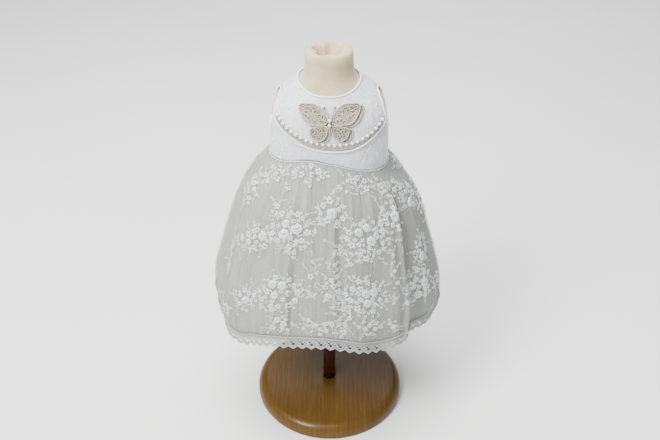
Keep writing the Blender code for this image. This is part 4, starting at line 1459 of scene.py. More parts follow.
    def leaf(self, bundle: Bundle, angle: float, height: float, lean: float) -> None:
        """Add a small padded leaf of the lace: a pointed oval, higher along its middle."""
        turns = all_round(8)
        outline = self.leaf_length * np.stack([0.5 + 0.5 * np.cos(turns), 0.3 * np.sin(turns)], -1)
        outline = np.concatenate([outline, [[self.leaf_length * 0.5, 0.0]]])
        x = outline[:, 0] * math.cos(lean) - outline[:, 1] * math.sin(lean)
        y = outline[:, 0] * math.sin(lean) + outline[:, 1] * math.cos(lean)
        lift = np.array([0.05 * MM] * 8 + [0.55 * MM])
        ring = np.arange(8)
        fan = np.stack([np.full(8, 8), ring, (ring + 1) % 8], -1)
        under = ring[None, ::-1] + bundle.count
        bundle.add(self.surface(angle + x / self.guide.half_width, height + y, lift), fan,
                   outline[fan][..., ::-1])
        bundle.cap(under)

    def build(self) -> None:
        """Make every piece of the bodice."""
        front = self.front()
        backs = [self.back(1, "back_panel_left", "back_left"),
                 self.back(-1, "back_panel_right", "back_right")]
        self.bindings()
        piping = self.piping()
        placket = self.placket()
        scrolls = self.scrollwork()
        trim = YokeTrim(self).build()
        fly = Butterfly(self).build()
        for panel, scroll in zip(backs, scrolls[2:]):
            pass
        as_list(placket[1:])


@dataclass
class YokeTrim:
    """Looped gimp braid above the piping, with seed beads and a string of pearls."""

    bodice: Bodice
    pearl_radius: float = 1.95 * MM
    pearl_pitch: float = 6.9 * MM
    pearl_rise: float = 8.6 * MM
    loop_rise: float = 5.6 * MM
    end_angle: float = math.radians(6)
    braid_swing: float = 2.3 * MM
    # rise in millimetres, radius in millimetres: two plain cords along the braid
    edges: Table = ((2.7, 0.45), (7.6, 0.40))

    def travel(self) -> tuple[Array, Array]:
        """Distance along the yoke seam at fine steps of its angle."""
        fine = np.linspace(*self.bodice.yoke_span(self.end_angle), 800)
        level = self.bodice.guide.yoke_seam(fine) + self.pearl_rise
        return fine, travelled(self.bodice.surface(fine, level, 2.0 * MM))

    def build(self) -> list[Piece]:
        """Make the braid, the beads and the pearls.

        The braid's loops are a line whose place along and above the seam swings in a circle.
        """
        fine, gone = self.travel()
        bodice, seam = self.bodice, self.bodice.guide.yoke_seam
        count = int(gone[-1] / self.pearl_pitch)
        start = (gone[-1] - count * self.pearl_pitch) / 2
        places = start + np.arange(count + 1) * self.pearl_pitch

        s = np.linspace(start - 2.5 * MM, places[-1] + 2.5 * MM, 46 * count)
        phase = math.tau * (s - start) / self.pearl_pitch
        angles = np.interp(s + self.braid_swing * np.sin(phase), gone, fine)
        rise = self.loop_rise - self.braid_swing * np.cos(phase)
        crossing = 0.55 * MM * np.cos(phase / 2) ** 2
        braid = Bundle()
        Rope(0.55 * MM, strands=3, pitch=2.2 * MM, depth=0.3, sides=9, step=0.4 * MM).lay(
            braid, bodice.above(angles, seam(angles) + rise), 0.75 * MM + crossing)
        angles = np.interp(np.linspace(s[0], s[-1], 300), gone, fine)
        for level, radius in self.edges:
            Rope(radius * MM, strands=2, pitch=1.8 * MM, depth=0.3, sides=8, step=0.45 * MM).lay(
                braid, bodice.above(angles, seam(angles) + level * MM), 0.45 * MM)
        made = [place_piece(braid, "gimp_braid", GIMP, Slot.BRAID, "pearl_trim_braid")]

        pearls, beads = Bundle(), Bundle()
        big, small = (half_circle(13), 20), (half_circle(13)[::2], 10)
        for bundle, (rows, steps), offset, rise, radius, up in (
            (pearls, big, 0.0, self.pearl_rise, self.pearl_radius, 2.0),
            (beads, small, 0.5, 4.6 * MM, 0.75 * MM, 1.5),
            (beads, small, 0.0, 4.9 * MM, 0.65 * MM, 1.3),
        ):
            spots = places + offset * self.pearl_pitch
            angles = np.interp(spots[spots < gone[-1]], gone, fine)
            place = bodice.above(angles, seam(angles) + rise)
            middles = place(up * MM)
            for middle, out in zip(middles, place((up + 1) * MM) - middles):
                turned_solid(bundle, rows * radius, steps, middle, out)
        made.append(place_piece(pearls, "trim_pearls", PEARLS, Slot.PEARL, "pearl_trim"))
        made.append(place_piece(beads, "trim_seed_beads", SILVER, Slot.BRAID))
        return made


@dataclass
class Butterfly:
    """Corded lace butterfly on the yoke: two layers of wings, body, feelers, two pearls."""

    bodice: Bodice
    height: float = 0.4895
    shift: float = 0.5 * MM
    slope: float = 0.92
    # direction in degrees, reach, from each wing's middle
    upper: Table = (
        (0, 0.0155), (25, 0.0126), (60, 0.0124), (90, 0.0125), (120, 0.0136), (144, 0.0174),
        (180, 0.0128), (225, 0.0106), (300, 0.0115), (342, 0.0175),
    )
    lower: Table = (
        (0, 0.0088), (45, 0.0120), (75, 0.0095), (118, 0.0088), (150, 0.0108), (180, 0.0093),
        (229, 0.0091), (270, 0.0093), (315, 0.0086),
    )
    middle_upper: tuple[float, float] = (0.0190, 0.0080)
    middle_lower: tuple[float, float] = (0.0125, -0.0125)
    under_shift: tuple[float, float] = (0.0042, -0.0020)
    # share of the reach, wave, lobes, phase, radius in millimetres: the cords of a wing
    upper_cords: Table = (
        (1.0, 0.0, 0, 0.0, 0.95), (0.865, 0.004, 5, 0.4, 0.55), (0.750, 0.006, 7, 1.4, 0.50),
        (0.54, 0.13, 7, 1.0, 0.62), (0.27, 0.11, 5, 0.3, 0.60), (0.10, 0.04, 3, 1.4, 0.50),
    )
    lower_cords: Table = (
        (1.0, 0.0, 0, 0.0, 0.92), (0.80, 0.008, 6, 0.4, 0.55), (0.52, 0.15, 6, 1.0, 0.60),
        (0.22, 0.10, 4, 0.3, 0.55),
    )
    dome: float = 0.35 * MM
    spokes: int = 120
    vein_degrees: tuple[float, ...] = (150, 168, 188, 215)
    # distance from the middle, rise
    feeler: Table = ((0.0009, 0.0036), (0.0026, 0.0105), (0.0046, 0.0150), (0.0060, 0.0172))

    def place(self, x: Array, y: Array, lift: Array | float) -> Array:
        """Point on the yoke from distances across and up from the butterfly's middle."""
        level = self.height + np.asarray(y) * self.slope
        guide = self.bodice.guide
        angle = guide.angle_across(np.asarray(x) + self.shift, level)
        return self.bodice.surface(angle, level, lift)

    def spot(self, rows: Table, middle: tuple, side: int, shift: tuple, share: Array,
             direction: Array) -> tuple[Array, Array]:
        """Plane point at a share of a wing's reach; directions run from the body's side."""
        reach = read_round(rows, direction) * share
        x = side * (middle[0] - reach * np.cos(direction)) + shift[0]
        y = middle[1] + shift[1] + reach * np.sin(direction)
        return x, y

    def cord(self, bundle: Bundle, x: Array, y: Array, lift: Array | float, radius: float,
             closed: bool = True) -> None:
        """Lay a twisted cord along plane points."""
        Rope(radius, strands=3, pitch=4.0 * radius, depth=0.28, sides=8, step=0.9 * radius).lay(
            bundle, partial(self.place, x, y), lift, closed)

    def wing(self, cords: Bundle, net: Bundle, rows: Table, middle: tuple, side: int,
             shift: tuple, lift: float, wound: Table) -> None:
        """One wing: a net web, a bold edge cord and finer cords wound inside it.

        A wound cord's share of the reach is a level plus a wave of a few lobes.
        """
        turns = all_round(180)
        spokes = all_round(self.spokes)
        share, turn = np.meshgrid(np.linspace(0.04, 0.985, 8), spokes, indexing="ij")
        x, y = self.spot(rows, middle, side, shift, share, turn)
        points = self.place(x, y, lift + self.dome * (1 - share ** 2))
        flat = np.stack([x, y], -1)
        if side < 0:
            points, flat = points[:, ::-1], flat[:, ::-1]
        hub = np.arange(self.spokes)[None, ::-1] + net.count
        net.grid(points, flat, False, True)
        net.cap(hub)
        for level, wave, lobes, phase, radius in wound:
            share = level + wave * np.sin(lobes * turns + phase)
            x, y = self.spot(rows, middle, side, shift, share, turns)
            rise = self.dome * (1 - share ** 2) + radius * MM
            self.cord(cords, x, y, lift + rise, radius * MM)

    def veins(self, cords: Bundle, side: int, shift: tuple, lift: float) -> None:
        """Cords from the forewing's root across it to its edge."""
        middle = self.middle_upper
        root_x, root_y = side * middle[0] * 0.22 + shift[0], middle[1] * 0.30 + shift[1]
        t = np.linspace(0, 1, 24)
        bow = 1.6 * MM * np.sin(t * math.pi)
        for turn in np.radians(self.vein_degrees):
            x, y = self.spot(self.upper, middle, side, shift, 0.93, turn)
            self.cord(cords, root_x * (1 - t) + x * t, root_y * (1 - t) + y * t + bow,
                      lift + 0.9 * MM, 0.38 * MM, closed=False)

    def wings(self) -> list[Piece]:
        """Two layers of four wings, each layer a net and its cords."""
        made = []
        for layer, shift, lift in (
            ("under", self.under_shift, 0.5 * MM), ("top", (0.0, 0.0), 2.0 * MM),
        ):
            cords, net = Bundle(), Bundle()
            over = lift + 0.15 * MM
            for side in (-1, 1):
                self.wing(cords, net, self.lower, self.middle_lower, side, shift, lift,
                          self.lower_cords)
                self.wing(cords, net, self.upper, self.middle_upper, side, shift, over,
                          self.upper_cords)
                self.veins(cords, side, shift, over)
            nodes = (f"butterfly_{layer}_{wing}_{hand}" for wing in ("forewing", "hindwing")
                     for hand in ("left", "right"))
            # Dark web: painted shade for the gaps between the wing cords.
            made.append(place_piece(net, f"wing_web_{layer}", SHADED_WING_NET, Slot.BUTTERFLY, *nodes,
                                    wall=0.5 * MM))
            made.append(place_piece(cords, f"wing_cords_{layer}", WING_CORD, Slot.BUTTERFLY))
        return made

    def build(self) -> list[Piece]:
        """Make both layers of wings, the body, the feelers and the pearls."""
        made = self.wings()
        body = Bundle()
        y = np.linspace(0.0050, -0.0125, 30)
        girth = 0.55 + 0.45 * np.sin(np.linspace(0.25, 2.9, 30))
        Rope(1.25 * MM, strands=3, pitch=2.6 * MM, depth=0.25, sides=12, step=0.4 * MM).lay(
            body, partial(self.place, np.zeros(30), y), 3.3 * MM, swell=girth)
        made.append(place_piece(body, "butterfly_wrapped_body", WING_CORD, Slot.BUTTERFLY,
                                "butterfly_body"))
        rows = tuple((float(k), *row) for k, row in enumerate(self.feeler))
        t = np.linspace(0, len(rows) - 1, 30)
        tips = Bundle()
        for side, hand in ((-1, "right"), (1, "left")):
            bundle = Bundle()
            x, y = side * along(rows, 1, t), along(rows, 2, t)
            self.cord(bundle, x, y, 2.8 * MM, 0.75 * MM, closed=False)
            made.append(place_piece(bundle, f"feeler_{hand}", WING_CORD, Slot.BUTTERFLY,
                                    f"butterfly_feeler_{hand}"))
            self.ball(tips, x[-1], y[-1], 2.9 * MM, 1.45 * MM, 16)
        made.append(place_piece(tips, "feeler_beads", SILVER, Slot.BUTTERFLY))
        for number, rise in enumerate((0.0034, -0.0020), start=1):
            bundle = Bundle()
            self.ball(bundle, 0.0, rise, 6.0 * MM, 1.9 * MM, 24)
            made.append(place_piece(bundle, f"centre_pearl_{number}", PEARLS, Slot.PEARL,
                                    f"butterfly_pearl_{number}"))
        return made

    def ball(self, bundle: Bundle, x: float, y: float, lift: float, radius: float,
             steps: int) -> None:
        """Add a bead whose middle is at a plane point, some way above the yoke."""
        middle = self.place(x, y, lift)
        turned_solid(bundle, half_circle(15) * radius, steps, middle,
                     self.place(x, y, lift + 3 * MM) - middle)


# -------------------------------------------------------------------------------- skirt

@dataclass(frozen=True)
class Gathers:
    """Creases of a gathered cloth: those listed, and small ones at the waist."""

    seed: int
    small: int = 150
    long: int = 60
    small_rise: float = 0.7 * MM
    long_rise: float = 0.5 * MM
    # angle and lean in degrees, width, rise (- is a trough), start and end of the drop
    creases: Table = (
        (-80, 12, 0.0100, -0.0030, 0.05, 1.10), (-69, 13, 0.0065, 0.0030, 0.04, 1.15),
        (-61, 10, 0.0060, -0.0020, 0.10, 0.95), (-47, 5, 0.0060, 0.0016, 0.02, 0.62),
        (-38, 4, 0.0055, -0.0016, 0.02, 0.75), (-30, 3, 0.0045, 0.0015, 0.04, 0.50),
        (-21, 3, 0.0040, 0.0018, 0.10, 0.98), (-17, 1, 0.0028, -0.0022, 0.45, 1.00),
        (-12, 1, 0.0055, 0.0014, 0.01, 0.40), (-5, 0, 0.0050, -0.0014, 0.08, 0.70),
        (2, 2, 0.0036, 0.0018, 0.12, 0.92), (6, 2, 0.0060, -0.0024, 0.15, 0.96),
        (13, 1, 0.0050, 0.0013, 0.01, 0.38), (21, 0, 0.0050, -0.0012, 0.02, 0.50),
        (28, -1, 0.0050, 0.0014, 0.04, 0.60), (36, -1, 0.0050, -0.0014, 0.06, 0.72),
        (48, -6, 0.0048, 0.0042, 0.03, 1.15), (54, -5, 0.0060, -0.0036, 0.06, 1.15),
        (67, -5, 0.0060, 0.0018, 0.10, 0.80), (80, -6, 0.0080, -0.0020, 0.12, 0.92),
        (93, -3, 0.0070, 0.0036, 0.04, 1.05), (104, 2, 0.0080, -0.0030, 0.08, 1.00),
        (116, 4, 0.0055, 0.0020, 0.04, 0.66), (127, 1, 0.0070, -0.0026, 0.05, 0.94),
        (138, -3, 0.0065, 0.0032, 0.10, 1.05), (149, -2, 0.0055, -0.0020, 0.03, 0.60),
        (158, 1, 0.0060, 0.0024, 0.06, 0.88), (169, 3, 0.0075, -0.0032, 0.05, 1.05),
        (-176, 1, 0.0060, 0.0030, 0.02, 1.00), (-165, -2, 0.0060, -0.0024, 0.08, 0.76),
        (-153, 0, 0.0070, 0.0034, 0.04, 1.05), (-141, 4, 0.0065, -0.0026, 0.05, 0.90),
        (-130, 3, 0.0050, 0.0018, 0.02, 0.52), (-119, -1, 0.0075, -0.0030, 0.10, 1.05),
        (-107, -4, 0.0065, 0.0034, 0.03, 0.98), (-95, -2, 0.0055, -0.0018, 0.06, 0.64),
    )

    def rise(self, angle: Array, drop: Array, radius: Array, share: float) -> Array:
        """How far the creases stand out: round ridges that fade at both ends.

        Args:
            angle: angle of each point.
            drop: drop of each point.
            radius: the bell's radius at each point, which turns a width to an angle.
            share: how much of the listed creases this cloth has.

        Returns:
            Height of each point.
        """
        total = np.zeros(angle.shape)
        for middle, lean, width, height, start, end in self.creases:
            centre = math.radians(middle) + math.radians(lean) * drop
            away = wrapped(angle, centre) * radius / width
            fade = smooth_step((drop - start) / 0.14) * smooth_step((end - drop) / 0.25)
            total += share * height * np.exp(-2.0 * away * away) * fade
        rng = np.random.default_rng(self.seed)
        for count, low, high, rise, narrow, broad in (
            (self.small, 0.05, 0.30, self.small_rise, 1.5, 2.6),
            (self.long, 0.30, 1.00, self.long_rise, 2.4, 5.0),
        ):
            places = (np.arange(count) + rng.uniform(-0.36, 0.36, count)) / count * math.tau
            reach = rng.uniform(low, high, count)
            width = rng.uniform(narrow, broad, count) * MM
            size = rng.uniform(0.45, 1.0, count) * rise
            lean = rng.uniform(-0.05, 0.05, count)
            for place, end, wide, height, tilt in zip(places, reach, width, size, lean):
                away = wrapped(angle, place - math.pi + tilt * drop) * radius
                away = away / (wide * (1 + 1.6 * drop))
                fade = smooth_step((end - drop) / (0.6 * end))
                total += height * np.exp(-2.0 * away * away) * fade
        return total


@dataclass
class SkirtLayer:
    """One gathered cloth of the skirt, from the waist seam to its own hem."""

    bell: BellGuide
    name: str
    stands_for: str
    finish: Finish
    slot: Slot
    gathers: Gathers
    end: float = 1.0
    # middle and spread in degrees, how much of the drop its hem is caught up there
    caught: Table = ()
    columns: int = 600
    rows: int = 42
    inset_top: float = 0.0
    inset_hem: float = 0.0
    fold_share: float = 1.0
    crease_share: float = 1.0
    spread: float = 1.0 / 3.0
    width: float = 0.92
    wall: float = 0.3 * MM

    @property
    def angles(self) -> Array:
        """Angle of each column."""
        return all_round(self.columns, -math.pi)

    def drape(self, end: float, rows: int) -> ClothMap:
        """Points of the cloth down to a drop, with folds, creases and gathers."""
        share = np.linspace(0, 1, rows) ** 1.12
        angles = self.angles
        ends = np.full(self.columns, end)
        for middle, spread, rise in self.caught:
            away = wrapped(angles, math.radians(middle)) / math.radians(spread)
            ends -= rise * np.exp(-2.0 * away ** 4)
        a = np.broadcast_to(angles, (rows, self.columns))
        d = share[:, None] * ends[None]
        inset = self.inset_top + (self.inset_hem - self.inset_top) * smooth_step(d / self.spread)
        radius = (along(self.bell.sections, 1, d) + along(self.bell.sections, 2, d)) / 2
        creases = self.gathers.rise(a, d, radius, self.crease_share)
        lift = self.fold_share * self.bell.fold_height(a, d) + creases - inset
        return ClothMap(share * end, self.bell.point(a, d, lift))

    def build(self) -> Piece:
        """Make the cloth."""
        cloth = self.drape(self.end, self.rows)
        cut = self.width / math.tau
        fall = -cloth.drops[:, None] * self.bell.length
        flat = side_by_side(self.angles * cut, fall)
        bundle = Bundle()
        bundle.grid(cloth.points[::-1], flat[::-1], False, True, (self.width, 0.0))
        return place_piece(bundle, self.name, self.finish, self.slot, self.stands_for,
                           wall=self.wall)


@dataclass(frozen=True)
class SprayKind:
    """How one kind of embroidered spray is filled."""

    half_width: float
    half_height: float
    heads: int
    flowers: int
    florets: int
    twigs: int


class Sprays(Enum):
    """The kinds of spray on the tulle."""

    LARGE = SprayKind(32 * MM, 31 * MM, 3, 15, 15, 15)
    MEDIUM = SprayKind(20 * MM, 21 * MM, 1, 7, 9, 9)
    TALL = SprayKind(12 * MM, 32 * MM, 0, 7, 9, 9)
    SMALL = SprayKind(18 * MM, 12 * MM, 0, 4, 6, 6)
    SPRIG = SprayKind(7 * MM, 12 * MM, 0, 1, 3, 3)
    STEMS = SprayKind(8 * MM, 34 * MM, 0, 1, 4, 11)


LARGE, MEDIUM, TALL, SMALL, SPRIG, STEMS = Sprays
SprayRows = tuple[tuple[float, float, Sprays], ...]


@dataclass(frozen=True)
class Motif:
    """A stitched shape of unit size that is worked many times: points and faces."""

    points: Array
    faces: Array
    flat: Array
    rise: float

    @staticmethod
    def flower(petals: int, samples: int, eye: float, notch: float) -> Motif:
        """Ring of petals round an open eye, puffed half way out.

        Its outline's radius is 1 less `notch`, plus `notch` times a root of the petal wave.

        Args:
            petals: how many petals it has.
            samples: points to a petal.
            eye: radius of the eye.
            notch: how deep the outline falls between petals.

        Returns:
            The motif.
        """
        phi = all_round(petals * samples)
        wave = np.abs(np.cos(petals * phi / 2)) ** 0.6
        share = np.array([eye, 0.62, 1.0])[:, None]
        height = np.array([0.25, 1.0, 0.1])[:, None] * (0.45 + 0.55 * wave)
        reach = share * np.where(share <= eye, 1.0, 1.0 - notch + notch * wave)
        points = np.stack([reach * np.cos(phi), reach * np.sin(phi), height], -1)
        quads, _ = lattice(3, len(phi), True, True)
        flat = np.stack([phi * 2.0 + 0 * share, share + 0 * phi], -1) * MM
        return Motif(points.reshape(-1, 3), quads[:, ::-1], flat.reshape(-1, 2), 0.22 * MM)

    @staticmethod
    def leaf() -> Motif:
        """Pointed oval with a raised rib: two three-cornered rings between two tips."""
        points = np.array([
            (0.00, 0.0, 0.1), (0.28, -0.19, 0.0), (0.28, 0.0, 0.75), (0.28, 0.19, 0.0),
            (0.68, -0.17, 0.0), (0.68, 0.0, 0.65), (0.68, 0.17, 0.0), (1.00, 0.0, 0.1),
        ])
        k = np.arange(3)
        n = (k + 1) % 3
        faces = np.concatenate([
            np.stack(corners, -1) for corners in (
                (0 * k, 1 + k, 1 + n), (1 + k, 4 + k, 4 + n), (1 + k, 4 + n, 1 + n),
                (4 + k, 7 + 0 * k, 4 + n),
            )
        ])
        return Motif(points, faces, points[:, :2] * 3 * MM, 0.22 * MM)

    def work(self, bundle: Bundle, spots: Array, on_cloth: Callable) -> None:
        """Add the motif at rows of x, y, size, turn and lift."""
        px, py, pz = self.points.T
        c, s = np.cos(spots[:, 3:4]), np.sin(spots[:, 3:4])
        x = (px * c - py * s) * spots[:, 2:3] + spots[:, 0:1]
        y = (px * s + py * c) * spots[:, 2:3] + spots[:, 1:2]
        first = np.arange(len(spots))[:, None, None] * len(self.points)
        bundle.add(on_cloth(x, y, 0.06 * MM + spots[:, 4:5] + self.rise * pz),
                   (self.faces + first).reshape(-1, self.faces.shape[1]),
                   np.tile(self.flat[self.faces], (len(spots), 1, 1)))


@dataclass
class Embroidery:
    """Sprays of satin-stitched flowers, leaves and stems worked on the outer tulle."""

    bell: BellGuide
    cloth: ClothMap
    seed: int = 5
    limit: float = 0.925
    # angle in degrees, drop, kind: the front's sprays; the others follow the repeat
    front: SprayRows = (
        (-45, 0.055, SMALL), (-14, 0.050, SMALL), (24, 0.060, SMALL), (-28, 0.080, SPRIG),
        (9, 0.080, SPRIG), (42, 0.070, SPRIG), (-62, 0.090, SMALL), (-35, 0.190, SPRIG),
        (56, 0.110, SMALL), (2, 0.215, MEDIUM), (-70, 0.185, MEDIUM), (41, 0.235, MEDIUM),
        (71, 0.190, MEDIUM), (-21, 0.315, LARGE), (22, 0.330, LARGE), (-43, 0.370, MEDIUM),
        (-57, 0.430, SPRIG), (48, 0.390, SPRIG), (-68, 0.560, TALL), (67, 0.500, MEDIUM),
        (5.5, 0.390, SPRIG), (10, 0.450, SPRIG), (-19, 0.430, SPRIG), (3, 0.600, TALL),
        (-7, 0.570, STEMS), (-23, 0.665, LARGE), (-44, 0.710, MEDIUM), (19, 0.640, LARGE),
        (37, 0.560, STEMS), (56, 0.690, LARGE), (-22, 0.850, SMALL), (-9, 0.830, SPRIG),
        (-1, 0.860, SMALL), (8, 0.790, TALL), (21, 0.830, SMALL), (33, 0.850, SPRIG),
        (-62, 0.820, SMALL), (77, 0.780, SMALL),
    )
    # the hidden sides' sprays in one repeat: angle in degrees, drop, kind
    pattern: SprayRows = (
        (0, 0.300, LARGE), (2, 0.670, LARGE), (-4, 0.060, SMALL), (22, 0.160, MEDIUM),
        (20, 0.530, TALL), (24, 0.840, SMALL), (14, 0.760, SPRIG), (29, 0.340, SPRIG),
        (6, 0.860, SMALL), (12, 0.080, SPRIG), (24, 0.560, STEMS),
    )
    first: float = 96.0
    repeat: float = 43.0
    repeats: int = 4

    def layout(self) -> SprayRows:
        """Angle, drop and kind of every spray, with the hidden sides on the same repeat."""
        return self.front + tuple(
            (self.first + column * self.repeat + angle, drop + 0.02 * (column % 2), kind)
            for column in range(self.repeats) for angle, drop, kind in self.pattern
        )

    @staticmethod
    def scatter(kept: list, count: int, size: Array, reach: tuple[float, float],
                radii: tuple[float, float], rng: np.random.Generator) -> list:
        """Throw flowers into an oval ring and keep those that don't crowd the ones there.

        Args:
            kept: rows of x, y, radius, turn and lift that are there already.
            count: how many are wanted.
            size: half width and half height of the oval.
            reach: inner and outer edge of the ring, as shares of the oval.
            radii: least and greatest radius.
            rng: source of the unevenness.

        Returns:
            Rows of the new ones.
        """
        made: list[tuple[float, ...]] = []
        for _ in range(count * 40):
            if len(made) >= count:
                break
            turn = rng.uniform(0, math.tau)
            share = math.sqrt(rng.uniform(reach[0] ** 2, reach[1] ** 2))
            x, y = size * share * (math.cos(turn), math.sin(turn))
            radius = rng.uniform(*radii)
            if all(math.hypot(x - f[0], y - f[1]) > 0.86 * (radius + f[2])
                   for f in [*kept, *made]):
                made.append((x, y, radius, rng.uniform(0, math.tau), 0.0))
        return made

    def draw(self, kind: SprayKind, rng: np.random.Generator
             ) -> tuple[dict[str, list], list[Array]]:
        """Lay out one spray in its own plane.

        Full heads lie in the middle, flowers round them and florets further out. Curved twigs
        run out of it, with pairs of leaves and a floret or three leaves at the end.

        Args:
            kind: the spray's sizes.
            rng: source of its unevenness.

        Returns:
            Rows of x, y, size, turn and lift for each motif, and the stems' paths.
        """
        size = np.array([kind.half_width, kind.half_height])
        heads = self.scatter([], kind.heads, size, (0.0, 0.55), (6.0 * MM, 8.0 * MM), rng)
        flowers = self.scatter(heads, kind.flowers, size, (0.0, 0.80), (3.4 * MM, 5.2 * MM), rng)
        florets = self.scatter([*heads, *flowers], kind.florets, size, (0.2, 0.98),
                               (2.3 * MM, 3.6 * MM), rng)
        rows: dict[str, list] = {"head": [], "flower": flowers, "floret": florets, "leaf": []}
        for x, y, radius, turn, _ in heads:
            rows["head"].append((x, y, radius, turn, 0.0))
            rows["flower"].append((x, y, radius * 0.60, turn, 0.12 * MM))
        stems = []
        turns = (np.arange(kind.twigs) + rng.uniform(-0.4, 0.4, kind.twigs)) / kind.twigs
        for k, turn in enumerate(turns * math.tau):
            start = size * rng.uniform(0.35, 0.88) * (math.cos(turn), math.sin(turn))
            bend = math.atan2(start[1], start[0]) + rng.uniform(-1.1, 1.1)
            end = start + rng.uniform(8.0, 16.0) * MM * np.array([math.cos(bend), math.sin(bend)])
            bow = rng.uniform(-0.35, 0.35) * np.linalg.norm(end - start)
            middle = (start + end) / 2 + bow * np.array([-math.sin(bend), math.cos(bend)])
            t = np.linspace(0, 1, 10)[:, None]
            path = (1 - t) ** 2 * start + 2 * t * (1 - t) * middle + t ** 2 * end
            stems.append(path)
            ahead = np.gradient(path, axis=0)
            heading = np.arctan2(ahead[:, 1], ahead[:, 0])
            for step in (2, 4, 6):
                for hand in (-1, 1):
                    lean = heading[step] + hand * rng.uniform(0.7, 1.2)
                    rows["leaf"].append((*path[step], rng.uniform(2.0, 3.0) * MM, lean, 0.0))
            if k % 2:
                rows["floret"].append((*end, rng.uniform(1.9, 2.6) * MM, bend, 0.0))
            else:
                for lean in (-0.9, 0.0, 0.9):
                    length = rng.uniform(2.2, 3.0) * MM
                    rows["leaf"].append((*end, length, heading[-1] + lean, 0.0))
        for _ in range(2 * kind.flowers + kind.florets):
            turn, lean = rng.uniform(0, math.tau, 2)
            x, y = size * math.sqrt(rng.uniform()) * (math.cos(turn), math.sin(turn))
            rows["leaf"].append((x, y, rng.uniform(3.0, 5.6) * MM, lean, 0.0))
        return rows, stems

    def build(self) -> list[Piece]:
        """Work every spray on the cloth, as one piece of flowers and one of leaves."""
        rng = np.random.default_rng(self.seed)
        blooms, greens = Bundle(), Bundle()
        shapes = {
            "head": (Motif.flower(7, 3, 0.50, 0.34), blooms),
            "flower": (Motif.flower(5, 4, 0.20, 0.42), blooms),
            "floret": (Motif.flower(4, 4, 0.10, 0.62), blooms),
            "leaf": (Motif.leaf(), greens),
        }
        thread = Rope(0.25 * MM, strands=1, sides=4, step=1.5 * MM)
        top, low = 0.012, self.limit - 0.012
        for degrees, drop, kind in self.layout():
            angle = math.radians(degrees)
            across, down = self.bell.scale(angle, drop)

            def on_cloth(x: Array, y: Array, lift: Array | float) -> Array:
                """Point of the cloth from the spray's plane."""
                return self.cloth.at(angle + x / across, drop - y / down, lift)

            rows, stems = self.draw(kind.value, rng)
            for name, (motif, bundle) in shapes.items():
                spots = np.array(rows[name]).reshape(-1, 5)
                fall = drop - spots[:, 1] / down
                spots = spots[(fall > top) & (fall < low)]
                if len(spots):
                    motif.work(bundle, spots, on_cloth)
            for path in stems:
                fall = drop - path[:, 1] / down
                path = path[(fall > top) & (fall < low)]
                if len(path) > 3:
                    thread.lay(greens, partial(on_cloth, *path.T), 0.2 * MM)
        return [
            place_piece(blooms, "embroidered_flowers", EMBROIDERY, Slot.TULLE),
            place_piece(greens, "embroidered_leaves", EMBROIDERY, Slot.TULLE),
        ]


